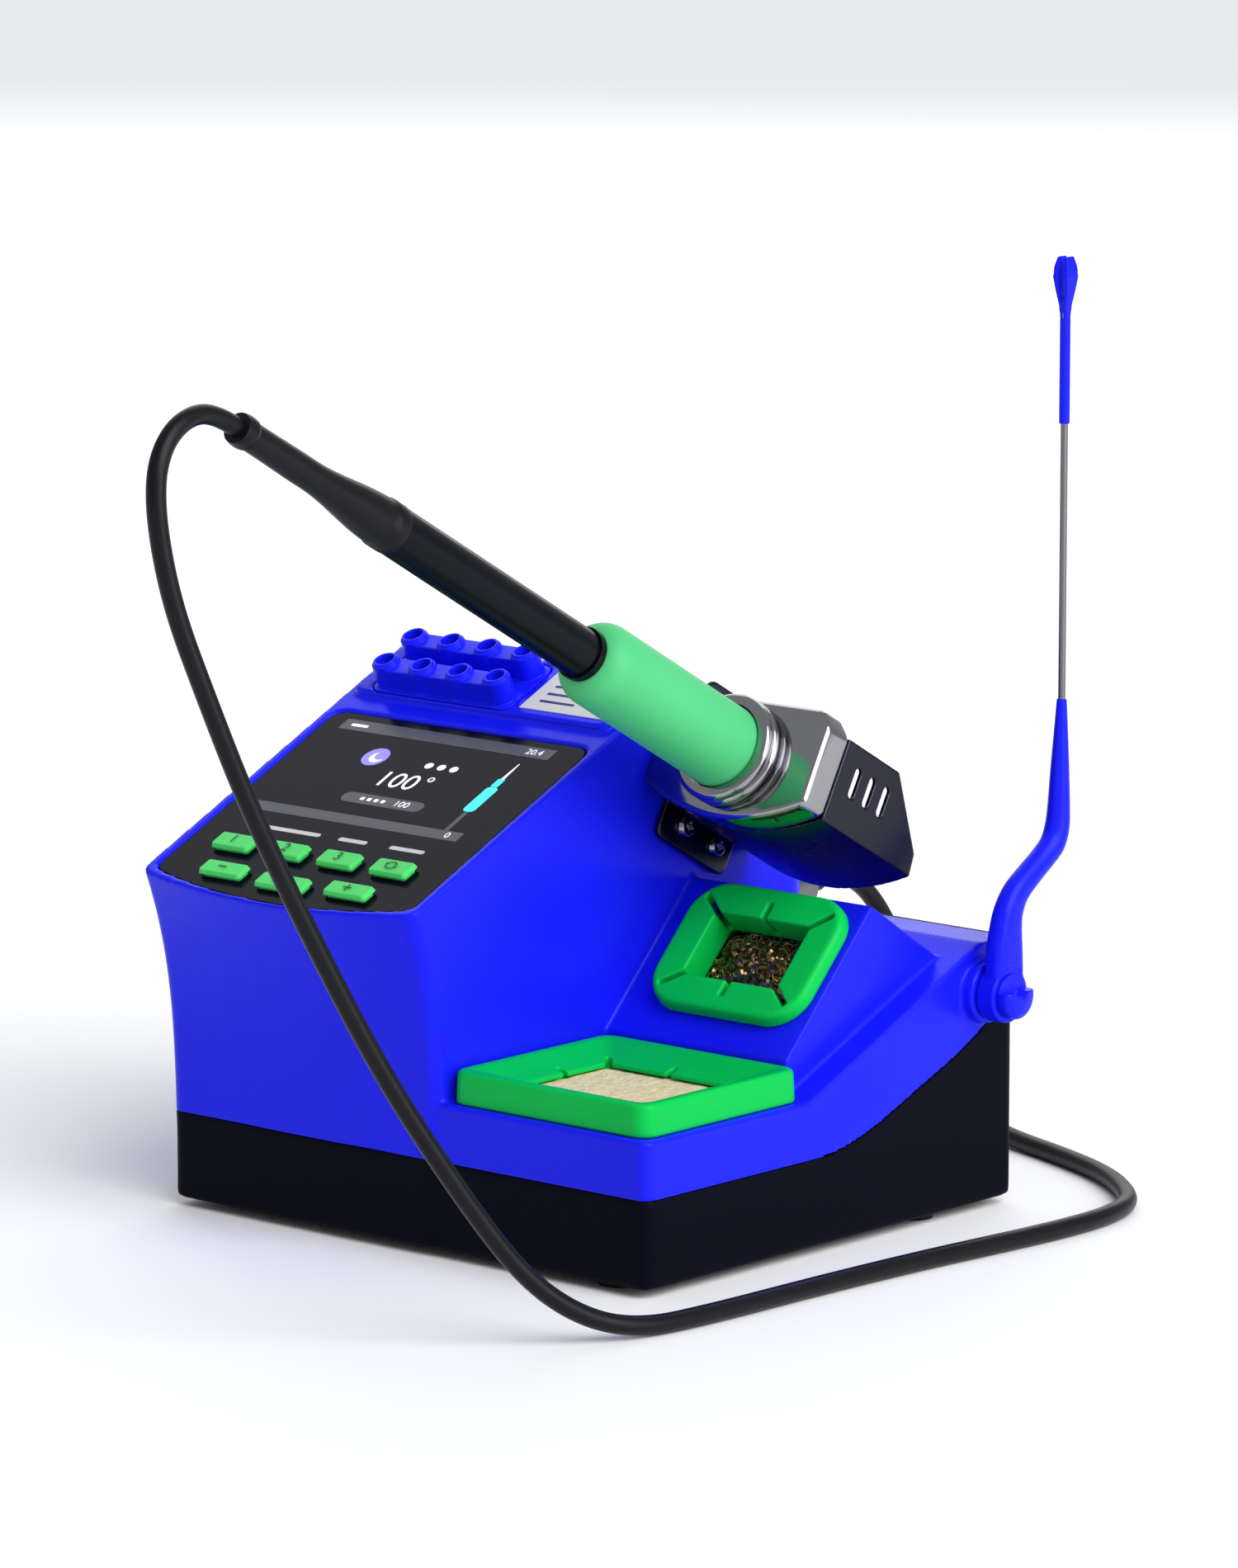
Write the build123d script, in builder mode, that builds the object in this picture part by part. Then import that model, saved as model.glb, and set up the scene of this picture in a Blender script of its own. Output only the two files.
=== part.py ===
"""Soldering iron station: a bench unit with a display, tool holder, cleaning trays and cable arm.

Frame: the origin is on the bench, below the centre of the housing.
+X runs to the right along the front, +Y to the back and +Z up. Units are millimetres.
"""

import math
import os

from build123d import *

os.makedirs("parts", exist_ok=True)

# ---------------------------------------------------------------- housing sizes
body_width = 152.0
body_depth = 135.5
foot_height = 2.0
wall = 2.4
split_height = 21.4  # height of the lower housing's front wall
deck_height = 35.4  # top of the deck, above the housing's underside
strip_height = 64.0  # flat strip at the back of the right side
strip_depth = 13.5
tower_width = 88.3
panel_slope = 24.9  # degrees from level
panel_length = 76.0  # along the slope
panel_bow = 5.7  # how far the panel's lower edge bows out
panel_top_height = 113.4  # upper edge of the panel, above the housing's underside
panel_back = 58.8  # from the front wall to the panel's upper edge
crest_run = 27.0  # slope that continues behind the panel
tower_back_height = 102.0
tower_rear_radius = 8.0
corner_radius = 3.0
tower_front_radius = 4.0
fit_gap = 0.35  # clearance round a loose piece
slide_gap = 0.25  # clearance round a button's stem

left = -body_width / 2
right = body_width / 2
front = -body_depth / 2
back = body_depth / 2
under = foot_height
deck = under + deck_height
strip = under + strip_height
split = under + split_height
tower_right = left + tower_width
tower_x = left + tower_width / 2
deck_overlap = 24.0  # the deck's volume reaches this far into the tower's
side_plane = Plane.YZ.offset(-body_width)  # side profiles start well outside the housing


def export(part, name):
    """Label a finished piece and write it to its own file."""
    part.label = name
    export_step(part, f"parts/{name}.step")


# ---------------------------------------------------------------- panel plane
slope = math.radians(panel_slope)
panel_top_y = front + panel_back
panel_top_z = under + panel_top_height
panel_normal = (0, -math.sin(slope), math.cos(slope))
panel_plane = Plane(origin=(tower_x, panel_top_y, panel_top_z), x_dir=(1, 0, 0), z_dir=panel_normal)
crest_y = panel_top_y + crest_run * math.cos(slope)
crest_z = panel_top_z + crest_run * math.sin(slope)


def panel_height(y):
    """Height of the sloping panel plane at a distance y from the front-to-back centre."""
    return panel_top_z + (y - panel_top_y) * math.tan(slope)


# ---------------------------------------------------------------- housing volume
tower_front = [  # height above the underside, how far the front wall leans out, its bow
    (0.0, 0.4, 0.4),
    (split_height, 0.4, 0.4),
    (45.0, 1.4, 1.6),
    (64.0, 4.2, 3.6),
    (84.0, 10.6, panel_bow),
    (140.0, 12.0, panel_bow),
]
boss_right = 68.5
boss_foot_y = 58.4  # from the front wall to the foot of the cup boss
boss_knee = 8.6  # upright part of the boss above the deck
boss_tilt = 44.0  # its face leans back from upright by this angle
boss_face = 45.5  # length of the leaning face
slope_start = 58.2  # from the front wall to where the deck starts to rise


def tower_volume(inset):
    """Solid of the display tower, shrunk by the inset on every side but the bottom."""
    with BuildPart() as tower:
        for height, lean, bow in tower_front:
            half = tower_width / 2 - inset
            front_y = front - lean + inset
            back_y = back - inset
            with BuildSketch(Plane.XY.offset(under + height)) as section:
                with BuildLine():
                    Line((tower_x + half, front_y), (tower_x + half, back_y))
                    Line((tower_x + half, back_y), (tower_x - half, back_y))
                    Line((tower_x - half, back_y), (tower_x - half, front_y))
                    ThreePointArc(
                        (tower_x - half, front_y), (tower_x, front_y - bow), (tower_x + half, front_y)
                    )
                make_face()
                corners = section.vertices().group_by(Axis.Y)
                fillet(corners[0], max(tower_front_radius - inset, 1.0))
                fillet(section.vertices().group_by(Axis.Y)[-1], max(tower_rear_radius - inset, 1.0))
        loft()
        low = front - 60
        with BuildSketch(side_plane):
            with BuildLine():
                Polyline(
                    (low, under + inset),
                    (low, panel_height(low) - inset / math.cos(slope)),
                    (crest_y, crest_z - inset / math.cos(slope)),
                    (back, under + tower_back_height - inset / math.cos(slope)),
                    (back, under + inset),
                    close=True,
                )
            make_face()
        extrude(amount=2 * body_width, mode=Mode.INTERSECT)
    return tower.part


def deck_volume(inset):
    """Solid of the low right side, with its left end buried in the tower, shrunk by the inset."""
    block_left = tower_right - deck_overlap
    block_width = right - block_left - inset
    with BuildPart() as block:
        with BuildSketch(Plane.XY.offset(under + inset)):
            with Locations((block_left + block_width / 2, 0)):
                RectangleRounded(block_width, body_depth - 2 * inset, corner_radius)
        extrude(amount=strip_height)
        with BuildSketch(side_plane):
            with BuildLine():
                Polyline(
                    (front, under),
                    (back, under),
                    (back, strip),
                    (back - strip_depth, strip),
                    (front + slope_start, deck),
                    (front, deck),
                    close=True,
                )
            make_face()
            if inset:
                offset(amount=-inset, kind=Kind.INTERSECTION, mode=Mode.REPLACE)
        extrude(amount=2 * body_width, mode=Mode.INTERSECT)
    return block.part


tilt = math.radians(boss_tilt)
boss_y0 = front + boss_foot_y
boss_knee_z = deck + boss_knee
boss_top = (boss_y0 + boss_face * math.sin(tilt), boss_knee_z + boss_face * math.cos(tilt))


def boss_volume(inset):
    """Solid of the leaning boss that carries the wool cup."""
    with BuildPart() as boss:
        with BuildSketch(Plane.YZ.offset(tower_right - wall - 1)):
            with BuildLine():
                Polyline(
                    (boss_y0, deck - 12),
                    (boss_y0, boss_knee_z),
                    boss_top,
                    (back - strip_depth - 6, strip - 4),
                    (back - strip_depth - 6, deck - 12),
                    close=True,
                )
            make_face()
            if inset:
                offset(amount=-inset, kind=Kind.INTERSECTION, mode=Mode.REPLACE)
        extrude(amount=boss_right - inset - tower_right + wall + 1)
    return boss.part


# ---------------------------------------------------------------- cup and tray wells
cup_width = 47.4
cup_height = 36.0
cup_rim = 4.2
cup_body_width = 40.0
cup_body_height = 28.6
cup_depth = 22.0
cup_wall = 2.0
cup_x = 43.2
cup_up = 25.9  # along the leaning face, from its knee to the cup's centre
cup_origin = (cup_x, boss_y0 + cup_up * math.sin(tilt), boss_knee_z + cup_up * math.cos(tilt))
cup_plane = Plane(origin=cup_origin, x_dir=(1, 0, 0), z_dir=(0, -math.cos(tilt), math.sin(tilt)))

tray_width = 61.0
tray_depth = 56.0
tray_height = 8.0
tray_centre = (43.4, front + 30.0)
tray_plug_width = 44.0
tray_plug_depth = 36.0
tray_plug = 4.0
tray_plane = Plane(origin=(tray_centre[0], tray_centre[1], deck))


# ---------------------------------------------------------------- tip rack
rack_pitch = 12.05
rack_count = 4
rack_first = 12.8  # from the tower's left wall to the first socket
rack_rows = (8.5, 19.9)  # up the slope from the panel's edge
rack_hole = 4.6
rack_hole_depth = 17.0
plinth_rise = 2.0
ridge_rise = 7.4
ridge_width = 5.8
collar_radius = 3.5
ring_radius = 3.0
plinth_start = 3.6
rack_gap = 0.15  # clearance of the rack in the shell
flange_thickness = 2.0

rack_places = [
    (rack_first + column * rack_pitch - tower_width / 2, row)
    for row in rack_rows
    for column in range(rack_count)
]
rack_middle = rack_first + (rack_count - 1) * rack_pitch / 2 - tower_width / 2
ridge_length = (rack_count - 1) * rack_pitch + 2 * collar_radius
rack_centre = sum(rack_rows) / len(rack_rows)
rack_length = ridge_length + 2.0
rack_depth = rack_rows[1] - rack_rows[0] + 2 * collar_radius + 1.0
plinth_length = crest_run - plinth_start - 0.6

# ---------------------------------------------------------------- display panel
rim = 2.6
window_thickness = 1.6
window_below = 0.5  # the window lies this far below the rim
button_travel = 0.6
button_rise = 1.3  # cap above the window
button_stem = 3.6
buttons = {  # name: centre across, centre up the slope, width, height
    "button_1": (-25.6, -60.3, 12.0, 6.0),
    "button_2": (-8.6, -60.3, 12.0, 6.0),
    "button_3": (8.4, -60.3, 12.0, 6.0),
    "button_cycle": (25.4, -60.3, 12.0, 6.0),
    "button_minus": (-20.0, -71.0, 13.6, 5.4),
    "button_menu": (0.2, -72.2, 15.6, 5.4),
    "button_plus": (20.4, -71.0, 13.6, 5.4),
}
screen_width = 68.0
screen_height = 42.0
screen_v = -27.2
board_depth = 7.6  # the control board's face, below the panel plane
board_thickness = 1.6


def panel_outline(inset):
    """Outline of the sloping panel: three straight sides and a bowed lower edge."""
    half = tower_width / 2 - inset
    low = -panel_length + inset
    with BuildSketch(Plane.XY) as outline:
        with BuildLine():
            Line((half, low), (half, -inset + 0.2))
            Line((half, -inset + 0.2), (-half, -inset + 0.2))
            Line((-half, -inset + 0.2), (-half, low))
            ThreePointArc((-half, low), (0, low - panel_bow), (half, low))
        make_face()
        fillet(outline.vertices(), 4.0)
    return outline.sketch


# ---------------------------------------------------------------- cable arm
arm_y = back - 13.7
arm_z = under + 52.3
arm_boss_radius = 7.6
arm_boss_length = 3.4
arm_thickness = 6.4
arm_pin_radius = 2.4
running_gap = 0.08
arm_rise = 69.2  # from the pivot to the top of the plastic arm
rod_offset = 21.6  # the rod stands this far behind the pivot
rod_radius = 0.9
rod_length = 92.8
arm_x = right + arm_boss_length + 0.35

# ---------------------------------------------------------------- tool holder
iron_pitch = 29.5
iron_x = 38.0
holder_y = 1.16
holder_z = under + 115.2
pitch = math.radians(iron_pitch)
iron_plane = Plane(
    origin=(iron_x, holder_y, holder_z),
    x_dir=(1, 0, 0),
    z_dir=(0, -math.cos(pitch), math.sin(pitch)),
)
tip_dir = (0, math.cos(pitch), -math.sin(pitch))  # from the collar towards the iron's tip
plate_front = -7.5  # along the iron's axis, from the origin of its plane
plate_depth = 9.0
plate_half = iron_x - tower_right - 0.7
plate_top = 14.4
plate_side = -9.5
plate_belly = -16.0
plate_wall = 2.2
sheet = 1.2
shroud_top = 10.6
shroud_reach = 30.3  # top edge, along the axis from the casting's front face
shroud_reach_low = 45.5
bracket_low = -20.0
bracket_high = 21.0
bracket_start = 17.5
bracket_end = 46.0
holder_screw_places = [(26.5, -14.2), (39.5, -14.2)]
holder_screw_radius = 1.5
collar_outer = 13.3
collar_length = 6.0

# ---------------------------------------------------------------- iron
grip_radius = 10.3
grip_front = -10.0
grip_back = 54.4
tube_radius = 5.95
tube_wall = 1.0
tube_back = 130.0
boot_length = 57.5
tail_radius = 3.8
cord_radius = 2.3
cartridge_radius = 2.8
cartridge_out = -50.0
bore_gap = 0.5

# ---------------------------------------------------------------- rear connector
plug_x = -2.0
plug_z = under + 65.5
socket_radius = 7.5
nut_length = 9.0
plug_length = 18.0

# ================================================================ housings
parting_rise = 48.0
panel_gap = wall  # the lower housing carries the whole rear panel

with BuildPart() as parting:
    with BuildSketch(side_plane):
        with BuildLine():
            Polyline((front - 20, under - 5), (front - 20, split), (front + 60, split))
            Spline(
                (front + 60, split),
                (front + 95, under + 30.6),
                (back - panel_gap, under + parting_rise + 3),
                tangents=[(1, 0), (0.72, 0.7)],
            )
            Polyline(
                (back - panel_gap, under + parting_rise + 3),
                (back - panel_gap, under + 160),
                (back + 20, under + 160),
                (back + 20, under - 5),
                (front - 20, under - 5),
            )
        make_face()
    extrude(amount=2 * body_width)

outer_tower = tower_volume(0)
inner_tower = tower_volume(wall)
outer_deck = deck_volume(0)
inner_deck = deck_volume(wall)
outer_boss = boss_volume(0)
inner_boss = boss_volume(wall)

screw_radius = 1.6
post_radius = 4.6
screw_head_depth = 1.9
post_inset = 6.2
post_places = [
    (left + post_inset, front + post_inset),
    (right - post_inset, front + post_inset),
    (left + post_inset, back - post_inset),
    (right - post_inset, back - post_inset),
]
foot_radius = 5.0
foot_places = [
    (left + 11, front + 24),
    (right - 17, front + 10),
    (left + 11, back - 24),
    (right - 9, back - 28),
]
inlet_x = -48.0
inlet_z = under + 20.0
inlet_width = 27.0
inlet_height = 19.6
switch_x = -12.0
switch_width = 13.0
switch_height = 19.2
vent_count = 9

with BuildPart() as lower_housing:
    add(outer_tower)
    add(outer_deck)
    add(inner_tower, mode=Mode.SUBTRACT)
    add(inner_deck, mode=Mode.SUBTRACT)
    add(parting.part, mode=Mode.INTERSECT)
    with BuildSketch(Plane.XY.offset(under)):
        with Locations(*post_places):
            Circle(post_radius)
    extrude(amount=split_height - 4)
    with BuildSketch(Plane.XY.offset(under)):
        with Locations(*post_places):
            Circle(screw_radius + fit_gap)
    extrude(amount=split_height, mode=Mode.SUBTRACT)
    with BuildSketch(Plane.XY.offset(under)):
        with Locations(*post_places):
            Circle(screw_radius * 2 + fit_gap)
    extrude(amount=screw_head_depth, mode=Mode.SUBTRACT)
    with BuildSketch(Plane.XZ.offset(-back - 1)):
        with Locations((inlet_x, inlet_z)):
            Rectangle(inlet_width, inlet_height)
        with Locations((switch_x, inlet_z)):
            Rectangle(switch_width, switch_height)
        with Locations((plug_x, plug_z)):
            Circle(socket_radius - 1.5)
        for slot in range(vent_count):
            with Locations((20 + slot * 5.0, under + 30)):
                SlotOverall(16, 2.2, rotation=90)
    extrude(amount=wall + 2, mode=Mode.SUBTRACT)
    with BuildSketch(Plane.XY.offset(under)):
        with Locations(*foot_places):
            Circle(1.5)
    extrude(amount=wall, mode=Mode.SUBTRACT)
export(lower_housing.part, "lower_housing")

with BuildPart() as upper_housing:
    add(outer_tower)
    add(outer_deck)
    add(outer_boss)
    add(inner_tower, mode=Mode.SUBTRACT)
    add(inner_deck, mode=Mode.SUBTRACT)
    add(inner_boss, mode=Mode.SUBTRACT)
    # posts that the housing screws bite into
    with BuildSketch(Plane.XY.offset(split - 4)):
        with Locations(*post_places):
            Circle(post_radius)
    extrude(amount=deck - wall / 2 - split + 4)
    # raised plinth, with the opening that the tip rack fills
    with BuildSketch(panel_plane.offset(-wall / 2)):
        with Locations((0, plinth_start + plinth_length / 2)):
            RectangleRounded(tower_width - 6, plinth_length, 3)
    extrude(amount=plinth_rise + wall / 2)
    with BuildSketch(panel_plane.offset(plinth_rise)):
        with Locations((rack_middle, rack_centre)):
            RectangleRounded(rack_length + 2 * rack_gap, rack_depth + 2 * rack_gap, 3)
    extrude(amount=-(plinth_rise + wall + 1), mode=Mode.SUBTRACT)
    # wells for the wool cup and the sponge tray
    with BuildSketch(cup_plane):
        RectangleRounded(
            cup_body_width + 2 * (fit_gap + wall), cup_body_height + 2 * (fit_gap + wall), 6.0
        )
    extrude(amount=-(cup_depth + fit_gap + wall))
    with BuildSketch(cup_plane.offset(1)):
        RectangleRounded(cup_body_width + 2 * fit_gap, cup_body_height + 2 * fit_gap, 4.0)
    extrude(amount=-(cup_depth + fit_gap + 1), mode=Mode.SUBTRACT)
    with BuildSketch(tray_plane.offset(-wall / 2)):
        RectangleRounded(
            tray_plug_width + 2 * (fit_gap + wall), tray_plug_depth + 2 * (fit_gap + wall), 5.0
        )
    extrude(amount=-(tray_plug + fit_gap + wall / 2))
    with BuildSketch(tray_plane.offset(1)):
        RectangleRounded(tray_plug_width + 2 * fit_gap, tray_plug_depth + 2 * fit_gap, 3.0)
    extrude(amount=-(tray_plug + fit_gap + 1), mode=Mode.SUBTRACT)
    # recess and opening for the display window and the buttons
    with BuildSketch(panel_plane):
        add(panel_outline(rim))
    extrude(amount=-(window_below + window_thickness), mode=Mode.SUBTRACT)
    with BuildSketch(panel_plane):
        add(panel_outline(rim + 3))
    extrude(amount=-(wall + 4), mode=Mode.SUBTRACT)
    # boss of the cable arm's pivot
    with BuildSketch(Plane.YZ.offset(right - wall)):
        with Locations((arm_y, arm_z)):
            Circle(arm_boss_radius)
    extrude(amount=arm_boss_length + wall)
    with BuildSketch(Plane.YZ.offset(right - wall)):
        with Locations((arm_y, arm_z)):
            Circle(arm_pin_radius)
    extrude(amount=arm_boss_length + wall, mode=Mode.SUBTRACT)
    # pilot holes of the tool holder
    for reach, up in holder_screw_places:
        hole_at = iron_plane.from_local_coords((tower_right - iron_x, up, -reach))
        with BuildSketch(Plane.YZ.offset(tower_right + 1)):
            with Locations((hole_at.Y, hole_at.Z)):
                Circle(holder_screw_radius)
        extrude(amount=-(wall + 2), mode=Mode.SUBTRACT)
    with BuildSketch(Plane.XY.offset(split - 4)):
        with Locations(*post_places):
            Circle(screw_radius)
    extrude(amount=9, mode=Mode.SUBTRACT)
    add(parting.part, mode=Mode.SUBTRACT)
    add(lower_housing.part, mode=Mode.SUBTRACT)
export(upper_housing.part, "upper_housing")
print("lower solids", len(lower_housing.solids()), "upper solids", len(upper_housing.solids()))

# ================================================================ tip rack
rack_base = panel_plane.offset(-wall - rack_gap)
with BuildPart() as tip_rack:
    with BuildSketch(rack_base):
        with Locations((rack_middle, rack_centre)):
            RectangleRounded(rack_length + 3, rack_depth + 2, 3)
    extrude(amount=-flange_thickness)
    with BuildSketch(rack_base):
        with Locations((rack_middle, rack_centre)):
            RectangleRounded(rack_length, rack_depth, 3)
    extrude(amount=plinth_rise + wall + rack_gap)
    with BuildSketch(rack_base):
        for row in rack_rows:
            with Locations((rack_middle, row)):
                SlotOverall(ridge_length, ridge_width)
    extrude(amount=ridge_rise + wall + rack_gap)
    for radius, rise in ((collar_radius, 0.7), (ring_radius, 1.4)):
        with BuildSketch(rack_base):
            with Locations(*rack_places):
                Circle(radius)
        extrude(amount=ridge_rise + wall + rack_gap + rise)
    with BuildSketch(panel_plane):
        with Locations(*rack_places):
            Circle(rack_hole / 2 + 1.2)
    extrude(amount=-(rack_hole_depth - ridge_rise))
    with BuildSketch(panel_plane.offset(ridge_rise + 1.4)):
        with Locations(*rack_places):
            Circle(rack_hole / 2)
    extrude(amount=-rack_hole_depth, mode=Mode.SUBTRACT)
export(tip_rack.part, "tip_rack")

# ================================================================ display and keys
with BuildPart() as display_window:
    with BuildSketch(panel_plane.offset(-window_below)):
        add(panel_outline(rim + fit_gap))
    extrude(amount=-window_thickness)
    with BuildSketch(panel_plane):
        for across, up, key_width, key_height in buttons.values():
            with Locations((across, up)):
                RectangleRounded(key_width - 1.0, key_height - 1.0, 1.0)
    extrude(amount=-(window_below + window_thickness), mode=Mode.SUBTRACT)
export(display_window.part, "display_window")

for key_name, (across, up, key_width, key_height) in buttons.items():
    stem_width = key_width - 1.0 - 2 * slide_gap
    stem_height = key_height - 1.0 - 2 * slide_gap
    with BuildPart() as key:
        with BuildSketch(panel_plane.offset(button_travel + 0.15 - window_below)):
            with Locations((across, up)):
                RectangleRounded(key_width, key_height, 1.1)
        extrude(amount=button_rise - 0.15, taper=25)
        with BuildSketch(panel_plane.offset(button_travel + 0.15 - window_below)):
            with Locations((across, up)):
                RectangleRounded(stem_width, stem_height, 0.8)
        extrude(amount=-(board_depth - button_stem - window_below + button_travel))
    export(key.part, key_name)

with BuildPart() as screen_module:
    with BuildSketch(panel_plane.offset(-(window_below + window_thickness))):
        with Locations((0, screen_v)):
            RectangleRounded(screen_width, screen_height, 1.0)
    extrude(amount=-3.0)
export(screen_module.part, "screen_module")

with BuildPart() as control_board:
    with BuildSketch(panel_plane.offset(-board_depth)):
        with Locations((0, -panel_length / 2 + 1.0)):
            Rectangle(screen_width + 4, panel_length - 12)
    extrude(amount=-board_thickness)
    for across in (-screen_width / 2 + 4, screen_width / 2 - 4):
        for up in (screen_v - screen_height / 2 + 3, screen_v + screen_height / 2 - 3):
            with BuildSketch(panel_plane.offset(-board_depth)):
                with Locations((across, up)):
                    Circle(2.0)
            extrude(amount=board_depth - window_below - window_thickness - 3.0)
export(control_board.part, "control_board")

with BuildPart() as key_switches:
    for across, up, key_width, key_height in buttons.values():
        with BuildSketch(panel_plane.offset(-board_depth)):
            with Locations((across, up)):
                Rectangle(5.0, 4.2)
        extrude(amount=button_stem - button_travel - 0.35)
        with BuildSketch(panel_plane.offset(-board_depth)):
            with Locations((across, up)):
                Circle(1.4)
        extrude(amount=button_stem - button_travel)
export(key_switches.part, "key_switches")

label_width = 26.0
label_depth = 16.5
label_thickness = 0.25
with BuildPart() as deck_label:
    with BuildSketch(panel_plane.offset(plinth_rise)):
        with Locations((tower_width / 2 - 19.0, 6.0 + label_depth / 2)):
            Rectangle(label_width, label_depth)
    extrude(amount=label_thickness)
export(deck_label.part, "deck_label")

# ================================================================ sponge tray
sponge_width = 42.0
sponge_depth = 35.0
tray_floor = 1.2
tray_mouth_width = 37.0
tray_mouth_depth = 30.0
lip_drop = 3.4
lip_thickness = 1.4
sponge_top = tray_height - lip_drop - lip_thickness - 0.3

with BuildPart() as sponge_tray:
    with BuildSketch(tray_plane.offset(0.05)):
        RectangleRounded(tray_width, tray_depth, 4.0)
    extrude(amount=tray_height - 0.05, taper=2)
    with BuildSketch(tray_plane.offset(0.05)):
        RectangleRounded(tray_plug_width, tray_plug_depth, 3.0)
    extrude(amount=-tray_plug)
    # sloping lip down to the mouth
    with BuildSketch(tray_plane.offset(tray_height - lip_drop)):
        RectangleRounded(tray_mouth_width, tray_mouth_depth, 2.0)
    with BuildSketch(tray_plane.offset(tray_height)):
        RectangleRounded(tray_width - 5, tray_depth - 5, 3.0)
    loft(mode=Mode.SUBTRACT)
    # mouth and the room that the sponge sits in
    with BuildSketch(tray_plane.offset(tray_height - lip_drop + 0.1)):
        RectangleRounded(tray_mouth_width, tray_mouth_depth, 2.0)
    extrude(amount=-(lip_thickness + 0.2), mode=Mode.SUBTRACT)
    with BuildSketch(tray_plane.offset(tray_height - lip_drop - lip_thickness)):
        RectangleRounded(sponge_width, sponge_depth, 3.0)
    extrude(
        amount=-(tray_height - lip_drop - lip_thickness + tray_plug - tray_floor), mode=Mode.SUBTRACT
    )
export(sponge_tray.part, "sponge_tray")

with BuildPart() as sponge:
    with BuildSketch(tray_plane.offset(-tray_plug + tray_floor + 0.1)):
        RectangleRounded(sponge_width - 0.8, sponge_depth - 0.8, 2.6)
    extrude(amount=sponge_top + tray_plug - tray_floor)
export(sponge.part, "sponge")

# ================================================================ wool cup
mouth_width = 29.0
mouth_height = 18.0
with BuildPart() as wool_cup:
    with BuildSketch(cup_plane.offset(0.05)):
        RectangleRounded(cup_width, cup_height, 10.0)
    extrude(amount=cup_rim, taper=6)
    with BuildSketch(cup_plane.offset(0.05)):
        RectangleRounded(cup_body_width, cup_body_height, 4.0)
    extrude(amount=-cup_depth)
    with BuildSketch(cup_plane.offset(cup_rim + 1)):
        RectangleRounded(mouth_width, mouth_height, 2.0)
    extrude(amount=-(cup_rim + 1), mode=Mode.SUBTRACT)
    with BuildSketch(cup_plane.offset(1.6)):
        RectangleRounded(cup_body_width - 2 * cup_wall, cup_body_height - 2 * cup_wall, 3.0)
    extrude(amount=-(cup_depth + 1.6 - cup_wall), mode=Mode.SUBTRACT)
export(wool_cup.part, "wool_cup")

wool_top = -6.2
with BuildPart() as brass_wool:
    with BuildSketch(cup_plane.offset(-cup_depth + cup_wall + 0.2)):
        RectangleRounded(cup_body_width - 2 * cup_wall - 1, cup_body_height - 2 * cup_wall - 1, 3.0)
    extrude(amount=cup_depth - cup_wall + wool_top - 0.2)
    with BuildSketch(cup_plane.offset(wool_top)):
        Ellipse(15.0, 10.0)
    extrude(amount=3.4, taper=40)
export(brass_wool.part, "brass_wool")

# ================================================================ tool holder
with BuildPart() as holder_front:
    with BuildSketch(iron_plane.offset(plate_front)) as plate:
        with BuildLine():
            Polyline(
                (-plate_half, plate_side),
                (-plate_half, plate_top - 4),
                (-plate_half + 4, plate_top),
                (plate_half - 4, plate_top),
                (plate_half, plate_top - 4),
                (plate_half, plate_side),
            )
            ThreePointArc((plate_half, plate_side), (0, plate_belly), (-plate_half, plate_side))
        make_face()
        fillet(plate.vertices(), 2.0)
    extrude(amount=-plate_depth)
    with BuildSketch(iron_plane.offset(plate_front - plate_wall)):
        add(offset(plate.sketch_local, amount=-plate_wall, mode=Mode.PRIVATE))
    extrude(amount=-plate_depth, mode=Mode.SUBTRACT)
    with BuildSketch(iron_plane.offset(plate_front)):
        Circle(collar_outer - 0.8)
    extrude(amount=collar_length)
    for rib in (0.0, 2.9):
        with BuildSketch(iron_plane.offset(plate_front + collar_length - rib)):
            Circle(collar_outer)
        extrude(amount=-2.2)
    with BuildSketch(iron_plane.offset(plate_front + collar_length)):
        Circle(grip_radius + bore_gap)
    extrude(amount=-(collar_length + plate_wall + 1), mode=Mode.SUBTRACT)
export(holder_front.part, "holder_front")

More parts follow.
